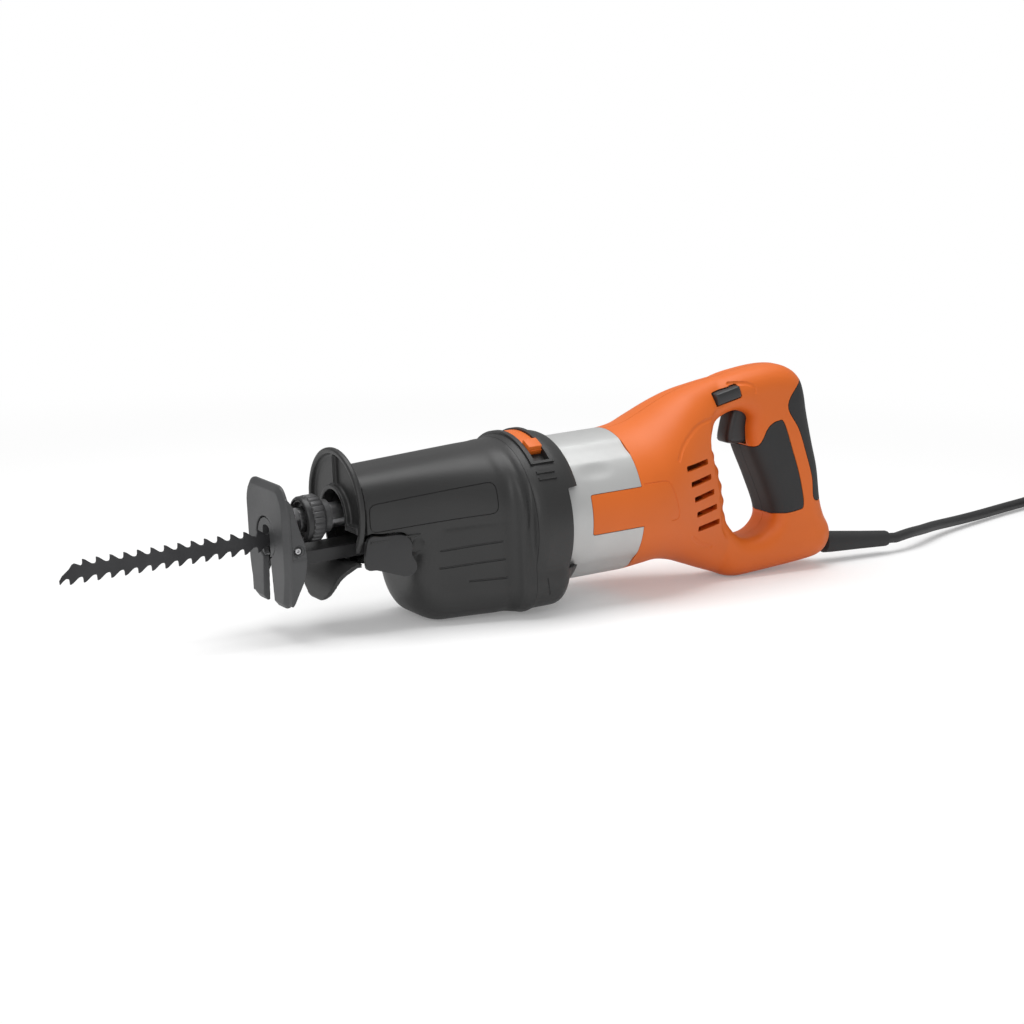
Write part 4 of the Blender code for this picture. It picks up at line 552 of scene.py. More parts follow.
def finish_piece(item, body, material, nodes=(), sharp=35.0, placed=False):
    """Set a piece into the standing frame, give it its material and let it ride on its body."""
    if not placed:
        item.data.transform(TOOL)
    if item.type == "MESH":
        split_wide_faces(item)
        item.data.shade_smooth()
        item.data.set_sharp_from_angle(angle=radians(sharp))
    item.data.materials.clear()
    item.data.materials.append(material)
    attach(item, body)
    if nodes:
        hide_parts(*nodes)
    return item


# Finishes

class Wire:
    """A shader socket that takes part in sums; node() adds any other node to its tree."""

    def __init__(self, tree, socket=None):
        self.tree = tree
        self.socket = socket

    def node(self, kind, settings=None, links=None, out=0):
        made = self.tree.nodes.new(kind)
        for name, value in (settings or {}).items():
            if name == "stops":
                ramp = made.color_ramp.elements
                while len(ramp) < len(value):
                    ramp.new(0.5)
                for stop, (place, color) in zip(ramp, value):
                    stop.position = place
                    stop.color = color
            else:
                setattr(made, name, value)
        for key, value in (links or {}).items():
            if isinstance(value, Wire):
                self.tree.links.new(value.socket, made.inputs[key])
            else:
                made.inputs[key].default_value = value
        return Wire(self.tree, made.outputs[out])

    def sum(self, operation, first, second):
        return self.node("ShaderNodeMath", {"operation": operation}, {0: first, 1: second})

    def __add__(self, other):
        return self.sum("ADD", self, other)

    def __sub__(self, other):
        return self.sum("SUBTRACT", self, other)

    def __rsub__(self, other):
        return self.sum("SUBTRACT", other, self)

    def __mul__(self, other):
        return self.sum("MULTIPLY", self, other)

    __radd__ = __add__
    __rmul__ = __mul__


def mix(wire, share, first, second):
    """Blend two colours by a share."""
    return wire.node("ShaderNodeMix", {"data_type": "RGBA"}, {0: share, 6: first, 7: second}, 2)


def noise(wire, place, scale, detail=3.0, rough=0.5):
    return wire.node("ShaderNodeTexNoise", {}, {"Vector": place, "Scale": scale, "Detail": detail,
                                               "Roughness": rough})


def between(wire, value, low, high, to_low=0.0, to_high=1.0):
    links = {0: value, 1: low, 2: high, 3: to_low, 4: to_high}
    return wire.node("ShaderNodeMapRange", {"interpolation_type": "SMOOTHSTEP"}, links)


def opaque(color):
    return (*color, 1.0)


def start_finish(name, roughness=0.5, metallic=0.0, **constants):
    """An empty Principled material, its shader's sockets and the piece's own coordinates."""
    material = bpy.data.materials.new(name)
    material.use_nodes = True
    tree = material.node_tree
    shader = tree.nodes["Principled BSDF"]
    shader.inputs["Roughness"].default_value = roughness
    shader.inputs["Metallic"].default_value = metallic
    for key, value in constants.items():
        shader.inputs[key.replace("_", " ")].default_value = value
    wire = Wire(tree)
    place = wire.node("ShaderNodeTexCoord", {}, {}, 3)
    return material, shader, wire, place


def feed(wire, shader, key, value):
    wire.tree.links.new(value.socket, shader.inputs[key])


def moulded(name, base, shade, roughness, grain, grain_scale=2600.0, spread=0.06, dust=0.0, **constants):
    """Injection-moulded plastic or rubber: fine spark-eroded grain and slow changes of tone."""
    material, shader, wire, place = start_finish(name, roughness, 0.0, **constants)
    slow = noise(wire, place, 14.0, 4.0, 0.55)
    fine = noise(wire, place, grain_scale, 2.0, 0.6)
    tone = between(wire, slow, 0.3, 0.7)
    color = mix(wire, tone, opaque(base), opaque(shade))
    if dust:
        speck = between(wire, noise(wire, place, 900.0, 3.0, 0.7), 0.62, 0.8)
        color = mix(wire, speck * dust, color, opaque((0.32, 0.31, 0.3)))
    feed(wire, shader, "Base Color", color)
    feed(wire, shader, "Roughness", slow * spread + fine * spread + (roughness - spread))
    bump = wire.node("ShaderNodeBump", {}, {"Strength": grain, "Distance": 0.00012, "Height": fine})
    feed(wire, shader, "Normal", bump)
    return material


def metal(name, base, shade, roughness, grain, stretch=(1.0, 1.0, 1.0), scale=900.0, metallic=0.9, **constants):
    """Metal with a grain drawn out along one way, or an even cast skin."""
    material, shader, wire, place = start_finish(name, roughness, metallic, **constants)
    drawn = wire.node("ShaderNodeMapping", {}, {"Vector": place, "Scale": stretch})
    fine = noise(wire, drawn, scale, 3.0, 0.6)
    slow = noise(wire, place, 30.0, 4.0, 0.6)
    color = mix(wire, between(wire, slow, 0.3, 0.7), opaque(base), opaque(shade))
    feed(wire, shader, "Base Color", color)
    feed(wire, shader, "Roughness", fine * 0.16 + slow * 0.1 + (roughness - 0.13))
    bump = wire.node("ShaderNodeBump", {}, {"Strength": grain, "Distance": 0.00015, "Height": fine})
    feed(wire, shader, "Normal", bump)
    return material


ORANGE = moulded("orange_plastic", (0.78, 0.155, 0.012), (0.74, 0.143, 0.01), 0.5, 0.12)
BLACK = moulded("black_plastic", (0.024, 0.024, 0.024), (0.02, 0.02, 0.02), 0.46, 0.3, 1900.0, 0.08)
BLACK_FINE = moulded("black_smooth_plastic", (0.026, 0.026, 0.027), (0.021, 0.021, 0.022), 0.4, 0.15)
RUBBER = moulded("black_rubber", (0.026, 0.026, 0.027), (0.021, 0.021, 0.022), 0.68, 0.35, 1500.0, 0.1)
LEAD = moulded("lead_jacket", (0.024, 0.024, 0.025), (0.02, 0.02, 0.021), 0.55, 0.12, 1800.0, 0.08)
SILVER = metal("silver_paint", (0.56, 0.565, 0.56), (0.52, 0.525, 0.52), 0.42, 0.05, scale=3200.0, metallic=0.35)
CAST = metal("grey_casting", (0.085, 0.086, 0.088), (0.07, 0.071, 0.073), 0.5, 0.25, scale=1500.0, metallic=0.35)
DARK = metal("dark_steel", (0.05, 0.05, 0.053), (0.04, 0.04, 0.043), 0.42, 0.12, scale=1200.0, metallic=0.7)
BLADE = metal("blade_steel", (0.05, 0.05, 0.053), (0.038, 0.038, 0.04), 0.42, 0.15, (0.06, 1.0, 1.0), 1600.0, 0.6)
COLLAR = metal("collar_steel", (0.13, 0.13, 0.132), (0.11, 0.11, 0.112), 0.5, 0.15, scale=1200.0, metallic=0.5)
RETAINER = metal("retainer_steel", (0.2, 0.2, 0.2), (0.16, 0.16, 0.16), 0.4, 0.1, scale=1400.0, metallic=0.8)
BRIGHT = metal("bright_steel", (0.55, 0.55, 0.56), (0.47, 0.47, 0.48), 0.32, 0.08, scale=1400.0, metallic=1.0)
BRASS = metal("brass", (0.62, 0.43, 0.17), (0.52, 0.35, 0.13), 0.35, 0.08, metallic=1.0)
COPPER = metal("copper", (0.68, 0.31, 0.16), (0.55, 0.24, 0.12), 0.36, 0.1, metallic=1.0)
CARBON = moulded("carbon", (0.02, 0.02, 0.021), (0.016, 0.016, 0.017), 0.8, 0.3, 1500.0)

CAD_FINISHES = {
    "plunger": BRIGHT, "clamp_pin": BRIGHT, "shoe_bracket": BLACK_FINE, "shoe_pivot_left": BRIGHT,
    "shoe_pivot_right": BRIGHT, "lever_pin": BLACK,
    "gear_frame": CAST, "front_bush": BRASS, "rear_bush": BRASS, "gear_post": BRIGHT, "crown_gear": DARK,
    "armature_shaft": BRIGHT, "armature_core": DARK, "commutator": COPPER, "cooling_fan": BLACK,
    "front_bearing": BRIGHT, "rear_bearing": BRIGHT, "stator": DARK, "brush_bridge": BLACK,
    "brush_holder_left": BRASS, "brush_holder_right": BRASS, "brush_left": CARBON, "brush_right": CARBON,
    "trigger_pin": BRIGHT, "switch_body": BLACK, "saw_blade": BLADE, "clamp_collar": DARK,
    "clamp_retainer": BRIGHT, "shoe_plate": CAST, "finger_guard": BLACK, "casing_left": BLACK,
    "casing_right": BLACK, "shoe_lever": BLACK_FINE, "collar_band": BLACK, "selector_slider": ORANGE,
    "motor_housing": SILVER, "handle_left": ORANGE, "handle_right": ORANGE, "grip_front_left": RUBBER,
    "grip_front_right": RUBBER, "grip_rear_left": RUBBER, "grip_rear_right": RUBBER, "trigger": BLACK_FINE,
    "lock_button": BLACK_FINE, "strain_relief": RUBBER, "coil_tie": RUBBER, "plug_body": RUBBER,
    "plug_pin_left": BRIGHT, "plug_pin_right": BRIGHT,
}
for node, item in frame["nodes"].items():
    item.data.materials.clear()
    item.data.materials.append(CAD_FINISHES.get(node, DARK))


# Handle

def offset(item, name, distance):
    """A copy whose surface lies a distance outside that of a smooth shape."""
    copy = twin(item, name)
    normals = [vertex.normal.copy() for vertex in copy.data.vertices]
    for vertex, normal in zip(copy.data.vertices, normals):
        vertex.co += normal * distance
    return copy


def tool_box(node):
    """The corners of a solid of the part in the saw's own frame."""
    item = frame["nodes"][node]
    spots = [TOOL.inverted() @ item.matrix_world @ vertex.co for vertex in item.data.vertices]
    return [Vector([pick(spot[axis] for spot in spots) for axis in range(3)]) for pick in (min, max)]


def slab(name, outline, start=-90.0, end=90.0):
    return prism(name, outline, start, end)


def body_rings(inset=0.0, sides=96, steps=4):
    stations = smooth_row([Vector(station) for station in BODY_STATIONS], steps)
    return [section(x, half - inset, top - inset, bottom + inset, power, sides)
            for x, half, top, bottom, power in stations]


def hole_outline():
    """The hand hole, with small finger waves along its front edge."""
    loop = []
    for x, z in smooth_loop(HOLE_OUTLINE, 10):
        if x < 100 and -26 < z < 31:
            fade = min(1.0, (z + 26) / 6, (31 - z) / 6)
            x += WAVE * fade * cos(2 * pi * (z - VENT_Z) / VENT_PITCH)
        loop.append((x, z))
    return loop


def handle_skin():
    whole = loft("handle_skin", body_rings())
    join(whole, plate("grip", smooth_loop(HANDLE_OUTLINE), HANDLE_HALF, HANDLE_ROUND))
    carve(whole, flared_hole("hole", hole_outline(), HANDLE_HALF, HOLE_ROUND))
    return remould(whole, 1.2, 8)


def vent_outline(number):
    shift = number - (VENT_COUNT - 1) / 2
    half_length, half_height = VENT_LENGTH / 2, VENT_HEIGHT / 2
    corners = [(-half_length, -half_height), (half_length, -half_height),
               (half_length, half_height), (-half_length, half_height)]
    loop = []
    for u, v in soft_corners(corners, 1.0, 4):
        x = VENT_X - shift * VENT_LEAN + u * cos(VENT_TILT) - v * sin(VENT_TILT)
        loop.append((x, VENT_Z + shift * VENT_PITCH + u * sin(VENT_TILT) + v * cos(VENT_TILT)))
    return loop


def button_outline(grow=0.0):
    half_length, half_height = BUTTON_LENGTH / 2 + grow, BUTTON_HEIGHT / 2 + grow
    corners = [(-half_length, -half_height), (half_length, -half_height),
               (half_length, half_height), (-half_length, half_height)]
    loop = []
    for u, v in soft_corners(corners, 1.4, 4):
        x = BUTTON_X + u * cos(BUTTON_TILT) - v * sin(BUTTON_TILT)
        loop.append((x, BUTTON_Z + u * sin(BUTTON_TILT) + v * cos(BUTTON_TILT)))
    return loop


def trigger_room():
    xs = [x for x, _ in TRIGGER_OUTLINE]
    zs = [z for _, z in TRIGGER_OUTLINE]
    corners = [(min(xs) - 1, min(zs) - 1), (max(xs) + 6, min(zs) - 1), (max(xs) + 6, max(zs) + 1),
               (min(xs) - 1, max(zs) + 1)]
    return slab("room", corners, -8.5, 8.5)


def screw_bore(node):
    """Room for a screw's head and what lies outside it."""
    low, high = tool_box(node)
    center = ((low.x + high.x) / 2, (low.z + high.z) / 2)
    return rod("bore", "Y", high.y - SCREW_HEAD - GAP, 90.0, SCREW_HEAD_RADIUS + GAP, 32, center)


def make_screw(node):
    low, high = tool_box(node)
    center = ((low.x + high.x) / 2, (low.z + high.z) / 2)
    top = high.y
    profile = [(top - 14.0, SCREW_RADIUS), (top - SCREW_HEAD, SCREW_RADIUS), (top - SCREW_HEAD, SCREW_HEAD_RADIUS)]
    profile += [(top - 0.9, SCREW_HEAD_RADIUS), (top - 0.3, SCREW_HEAD_RADIUS - 0.6), (top, SCREW_HEAD_RADIUS - 1.8)]
    screw = turned(f"{node}_head", "Y", profile, 32, center)
    reach = SCREW_HEAD_RADIUS * 0.62
    for wide, tall in ((reach, 0.45), (0.45, reach)):
        low_corner = (center[0] - wide, top - 1.5, center[1] - tall)
        carve(screw, box("cross", low_corner, (center[0] + wide, top + 1.0, center[1] + tall)))
    finish_piece(screw, "housing", DARK, (node,))


def make_handle():
    skin = handle_skin()
    whole = twin(skin, "handle_shell_left")
    carve(whole, box("front", (-120.0, -90.0, -90.0), (SEAM_X, 90.0, 90.0)))
    cavity = loft("cavity", body_rings(SHELL_WALL, 48, 2))
    common(cavity, box("reach", (-20.0, -90.0, -90.0), (66.0, 90.0, 90.0)))
    carve(whole, cavity)
    profile = [(TONGUE[0], MOTOR_RADIUS), (12.0, MOTOR_RADIUS), (12.0, 45.2), (TONGUE[0], 45.2)]
    tongue = turned("tongue", "X", profile, 144, hollow=True)
    common(tongue, slab("edge", soft_corners(tongue_corners(), 1.6)))
    join(whole, tongue)
    for number in range(VENT_COUNT):
        carve(whole, slab("vent", vent_outline(number), 13.0, 90.0), slab("vent", vent_outline(number), -90.0, -13.0))
    groove(whole, SOFT_LINES, 2.6, 0.4)
    groove(whole, FINE_LINES, 0.6, 0.4)
    carve(whole, trigger_room(), slab("pocket", button_outline(0.8), -90.0, -8.0))
    for number in range(1, 5):
        carve(whole, screw_bore(f"handle_screw_{number}"))
    covers = []
    for name, outline in (("grip_front", GRIP_FRONT_OUTLINE), ("grip_rear", GRIP_REAR_OUTLINE)):
        loop = smooth_loop(outline, 6)
        recess = slab("recess", shrink(loop, -GRIP_GAP))
        carve(recess, offset(skin, "bed", -GRIP_DEPTH - GAP))
        carve(whole, recess)
        cover = twin(skin, f"{name}_cover_left")
        common(cover, slab("edge", loop))
        carve(cover, offset(skin, "bed", -GRIP_DEPTH), trigger_room())
        covers.append((name, cover))
    bpy.data.objects.remove(skin, do_unlink=True)
    for side, half in zip(("left", "right"), halves(whole, "handle_shell_left", "handle_shell_right")):
        finish_piece(half, "housing", ORANGE, (f"handle_{side}",))
    for name, cover in covers:
        for side, half in zip(("left", "right"), halves(cover, f"{name}_cover_left", f"{name}_cover_right")):
            finish_piece(half, "housing", RUBBER, (f"{name}_{side}",))
    for number in range(1, 5):
        make_screw(f"handle_screw_{number}")


def tongue_corners(grow=0.0):
    front, low, high = TONGUE[0] - grow, TONGUE[1] - grow, TONGUE[2] + grow
    return [(front, low), (20.0, low), (20.0, high), (front, high)]


def make_controls():
    trigger = plate("trigger_blade", smooth_loop(TRIGGER_OUTLINE), 8.0, 4.0)
    finish_piece(trigger, "trigger", BLACK_FINE, ("trigger",))
    rings = []
    for inset, y in ((1.6, -BUTTON_OUT), (0.5, -BUTTON_OUT + 0.4), (0.0, -BUTTON_OUT + 1.2),
                     (0.0, -BUTTON_OUT + BUTTON_DEPTH)):
        rings.append([(x, y, z) for x, z in button_outline(-inset)])
    button = loft("lock_button_cap", rings)
    finish_piece(button, "lock_button", BLACK_FINE, ("lock_button",))


# Motor housing, collar band and selector

def dent(x, turn):
    """How deep the moulded hollows of the silver housing are; turns run from +Z to the left."""
    side = abs(turn)
    trough = 1.2 * bell((side - radians(34.0)) / radians(11.0))
    oval = 0.9 * bell(hypot((x + 22.0) / 17.0, (side - radians(53.0)) / radians(9.0)))
    low = 1.0 * bell((side - radians(138.0)) / radians(11.0))
    return trough + oval + low


def bell(t):
    return (1 - t * t) ** 2 if abs(t) < 1 else 0.0


def make_motor_housing():
    sides, steps = 240, 40
    end = SEAM_X - GAP
    rings = []
    for step in range(steps + 1):
        x = MOTOR_FRONT + (end - MOTOR_FRONT) * step / steps
        ring = []
        for spoke in range(sides):
            turn = 2 * pi * (spoke + 0.5) / sides - pi
            reach = MOTOR_RADIUS - dent(x, turn)
            ring.append((x, -reach * sin(turn), reach * cos(turn)))
        rings.append(ring)
    inner = [(end, 42.0), (end + 26.0, 42.0), (end + 26.0, 39.0), (end - 3.0, 39.0)]
    inner += [(end - 3.0, 45.0), (MOTOR_FRONT, 45.0)]
    for x, reach in inner:
        turns = [2 * pi * (spoke + 0.5) / sides - pi for spoke in range(sides)]
        rings.append([(x, -reach * sin(turn), reach * cos(turn)) for turn in turns])
    housing = loft("silver_housing", rings, hollow=True)
    recess = slab("recess", soft_corners(tongue_corners(TONGUE_GAP), 1.9))
    carve(recess, rod("keep", "X", -80.0, 60.0, 43.0, 96), box("behind", (SEAM_X, -90.0, -90.0), (60.0, 90.0, 90.0)))
    carve(housing, recess)
    finish_piece(housing, "housing", SILVER, ("motor_housing",), sharp=30.0)


def make_band(skin):
    """The rear of the black front shape: the collar band with the selector's slot and the foot."""
    band = twin(skin, "band")
    carve(band, box("front", (-300.0, -90.0, -90.0), (CASING_REAR + 0.2, 90.0, 90.0)))
    carve(band, rod("bore", "X", -300.0, 0.0, MOTOR_RADIUS + GAP, 180))
    slot_x = (SLOT_FRONT, SLOT_FRONT + SLOT_WIDTH)
    brim = radians(1.9)
    rim_x = (slot_x[0] - 3.2, slot_x[1] + 3.0)
    join(band, arc_block("rim", rim_x, (52.0, BAND_RADIUS + 0.9), (SLOT_FROM - brim, SLOT_TO + brim), 48))
    for turn in (50.0, 54.8):
        ridge = arc_block("ridge", (-68.6, -55.4), (52.0, 55.9), (radians(turn - 0.9), radians(turn + 0.9)), 3)
        join(band, ridge)
    corners = [(BAND_STEP, BAND_TABS[0]), (-20.0, BAND_TABS[0]), (-20.0, BAND_TABS[1]), (BAND_STEP, BAND_TABS[1])]
    carve(band, slab("step", soft_corners(corners, 1.4)))
    floor = BAND_RADIUS - 4.0
    carve(band, arc_block("slot", slot_x, (floor, BAND_RADIUS + 8.0), (SLOT_FROM, SLOT_TO), 48))
    groove(band, [[(-66.8, -33), (-65.6, -39.5), (-64, -45)]], 0.5, 0.5)
    finish_piece(band, "housing", BLACK, ("collar_band",), sharp=28.0)
    slider_x = (slot_x[0] + GAP, slot_x[1] - GAP)
    slider = arc_block("slider", slider_x, (floor + GAP, BAND_RADIUS - GAP), (SLIDER_FROM, SLIDER_TO), 32)
    thumb = (SLIDER_TO - radians(9.0), SLIDER_TO - radians(0.5))
    tab_block = arc_block("thumb", (slider_x[0] + 0.4, slider_x[1] - 0.4), (52.5, BAND_RADIUS + 3.0), thumb, 8)
    join(slider, tab_block)
    round_edges(slider, 0.8, 3, 50.0)
    finish_piece(slider, "selector", ORANGE, ("selector_slider",), sharp=40.0)


# Gear casing and shoe lever

def nose_shape(x):
    """Half width, top, bottom and squareness of the nose at a place along the motor axis."""
    share = (x - NOSE_FRONT) / (NOSE_END - NOSE_FRONT)
    swell = NOSE_TAPER * share + (1 - NOSE_TAPER) * share ** 3
    ridge = 2.6 * bell((x + 82.0) / 5.0) - 1.6 * bell((x + 89.0) / 7.0)
    half_width = NOSE_HALF_WIDTH + (CASING_REAR_RADIUS - NOSE_HALF_WIDTH) * swell + ridge
    top = NOSE_TOP + (CASING_REAR_RADIUS - NOSE_TOP) * share
    bottom = NOSE_BOTTOM - (CASING_REAR_RADIUS + NOSE_BOTTOM) * share ** 4
    return half_width, top, bottom, NOSE_SQUARENESS + (2.0 - NOSE_SQUARENESS) * share


def nose_solid(name, inset, sides, steps, rear):
    rings = []
    for step in range(steps + 1):
        x = NOSE_FRONT + (NOSE_END - NOSE_FRONT) * step / steps
        half_width, top, bottom, power = nose_shape(x)
        if step == 0:
            x += inset
        rings.append(section(x, half_width - inset, top - inset, bottom + inset, power, sides))
    rings.append([(rear, y, z) for _, y, z in rings[-1]])
    return loft(name, rings)


def chin_section(x, half_width, bottom, corner, steps=8):
    """A U-shaped section: upright sides, a flat underside and round lower corners."""
    turns = [pi / 2 * step / steps for step in range(steps + 1)]
    right = [(half_width, CHIN_TOP)]
    for turn in turns:
        y = half_width - corner * (1 - cos(turn))
        right.append((y, bottom + corner * (1 - sin(turn))))
    return [(x, y, z) for y, z in right] + [(x, -y, z) for y, z in reversed(right)]


def chin_solid(name, inset, steps=10):
    """The chin from its round front, along the underside to the foot's rear corner below the band."""
    rings = []
    turns = [pi / 2 * step / steps for step in range(steps + 1)]
    spots = [(CHIN_FRONT + CHIN_CORNER * (1 - cos(turn)), 1 - sin(turn), 1.0) for turn in turns]
    length = BAND_REAR - FOOT_CORNER - spots[-1][0]
    spots += [(spots[-1][0] + length * step / 40, 0.0, 1.0) for step in range(1, 41)]
    foot = BAND_REAR - FOOT_CORNER
    spots += [(foot + FOOT_CORNER * sin(turn), 1 - cos(turn), FOOT_CORNER / CHIN_CORNER) for turn in turns[1:]]
    for x, rise, scale in spots:
        half_width = min(nose_shape(min(x, -74.0))[0], 48.0) - inset - 13.0 * scale * rise
        bump = 1.4 * bell((x + 77.0) / 6.0)
        bottom = CHIN_BOTTOM + inset - bump + CHIN_CORNER * scale * rise
        inward = inset if x < CHIN_MIDDLE else -inset
        rings.append(chin_section(x + inward * rise, half_width, bottom, CHIN_ROUND - inset))
    return loft(name, rings)


def front_skin():
    """Nose, chin, collar band and foot as one soft shape."""
    whole = nose_solid("front_skin", 0.0, 96, 60, NOSE_END + 4.0)
    join(whole, chin_solid("chin", 0.0))
    join(whole, turned("ring", "X", BAND_PROFILE, 128))
    return remould(whole, 1.0, 4)


def pocket_core(rear):
    """The hollow of the nose below the guard's shelf."""
    half_width, top, bottom, power = nose_shape(NOSE_FRONT)
    inset = 2.6
    sizes = (half_width - inset, top - inset, bottom + inset, power, 64)
    core = loft("pocket", [section(x, *sizes) for x in (-300.0, rear)])
    return common(core, box("below", (-400.0, -90.0, -9.0), (0.0, 90.0, 12.5)))


def make_lever():
    """A proud plate on the left of the nose, whose thumb tip hangs below it."""
    rings, inner = [], []
    for step in range(9):
        x = -188.0 + 5.0 * step
        half_width, top, bottom, power = nose_shape(max(x, NOSE_FRONT))
        rings.append(section(x, half_width + 1.7, top, bottom - 26.0, power, 96))
        inner.append(section(x, half_width - 1.2, top, bottom - 26.0, power, 96))
    flap = loft("lever_flap", rings)
    common(flap, slab("edge", smooth_loop(LEVER_OUTLINE, 6), -90.0, 0.0))
    carve(flap, loft("bed", inner))
    round_edges(flap, 0.7, 3, 50.0)
    finish_piece(flap, "lever", BLACK_FINE, ("shoe_lever",))


def make_casing(skin):
    whole = twin(skin, "casing_shell_left")
    carve(whole, box("rear", (CASING_REAR, -90.0, -90.0), (0.0, 90.0, 90.0)))
    panel = soft_corners(PANEL_CORNERS, 5.0, 4)
    ring = slab("panel", shrink(panel, -0.3))
    carve(ring, slab("panel", shrink(panel, 0.3)))
    carve(ring, offset(skin, "bed", -0.7))
    carve(whole, ring)
    groove(whole, CASING_LINES, 0.7, 0.6)
    recess = slab("recess", shrink(smooth_loop(LEVER_OUTLINE, 6), -LEVER_GAP), -90.0, 0.0)
    carve(recess, offset(skin, "bed", -4.5))
    carve(whole, recess)
    scoop = turned("scoop", "Z", SCOOP_PROFILE, 48, SCOOP_PLACE)
    carve(whole, scoop)
    hollow = nose_solid("hollow", 4.0, 40, 6, -50.0)
    join(hollow, chin_solid("chin", 4.0, 4))
    carve(whole, hollow)
    opening = box("opening", (-300.0, -16.0, -9.0), (NOSE_FRONT + 8.0, 16.0, 36.0))
    carve(whole, opening, pocket_core(NOSE_FRONT + 6.0))
    for number in range(1, 5):
        carve(whole, screw_bore(f"casing_screw_{number}"))
    for side, half in zip(("left", "right"), halves(whole, "casing_shell_left", "casing_shell_right")):
        finish_piece(half, "housing", BLACK, (f"casing_{side}",))
    for number in range(1, 5):
        make_screw(f"casing_screw_{number}")


def make_guard():
    center = (0.0, PLUNGER_Z)
    back = GUARD_X + 3.5
    inner = GUARD_RADIUS - 4.6
    profile = [(back, 30.0), (GUARD_X + 0.8, GUARD_RADIUS - 0.4), (GUARD_X, GUARD_RADIUS),
               (GUARD_X - 2.2, GUARD_RADIUS), (GUARD_X - 3.0, GUARD_RADIUS - 1.0), (GUARD_X - 2.6, inner + 1.0),
               (GUARD_X, inner)]
    guard = turned("guard", "X", profile, 128, (0.0, GUARD_Z))
    front = GUARD_X - 4.0
    rim = box("shelf", (front, -32.0, 12.5), (GUARD_X + 2.0, 32.0, 16.5))
    join(rim, rod("arch", "X", front, GUARD_X + 2.0, 19.0, 64, center))
    join(rim, box("post", (front, -19.0, -12.0), (GUARD_X + 2.0, 19.0, PLUNGER_Z)))
    join(guard, rim, box("rib", (GUARD_X - 2.6, -1.0, 36.0), (GUARD_X + 2.0, 1.0, 57.0)))
    thickness = 3.5
    knee = (LIP_FRONT + thickness, NOSE_BOTTOM - thickness / 2)
    row = smooth_row([Vector(p) for p in ((GUARD_X, NOSE_BOTTOM + 7.0), knee, (LIP_FRONT - 1.0, LIP_BOTTOM))], 8)
    under = [(x + thickness * 0.9, z - thickness * 0.35) for x, z in row]
    lip = prism("lip", [tuple(p) for p in row] + list(reversed(under)), -LIP_HALF_WIDTH, LIP_HALF_WIDTH)
    lip_center = (0.0, LIP_BOTTOM + LIP_HALF_WIDTH - thickness / 3)
    common(lip, rod("rounding", "X", LIP_FRONT - 3.0, back + 3.0, LIP_HALF_WIDTH, 96, lip_center))
    join(guard, lip)
    carve(guard, box("mouth", (-300.0, -16.0, -9.0), (-100.0, 16.0, PLUNGER_Z)))
    carve(guard, rod("mouth", "X", -300.0, -100.0, 16.0, 64, center), pocket_core(-100.0))
    remould(guard, 0.7, 3)
    finish_piece(guard, "housing", BLACK, ("finger_guard",), sharp=180.0)


def make_front():
    skin = front_skin()
    make_casing(skin)
    make_band(skin)
    bpy.data.objects.remove(skin, do_unlink=True)
    make_lever()
    make_guard()


# Shoe, clamp and blade

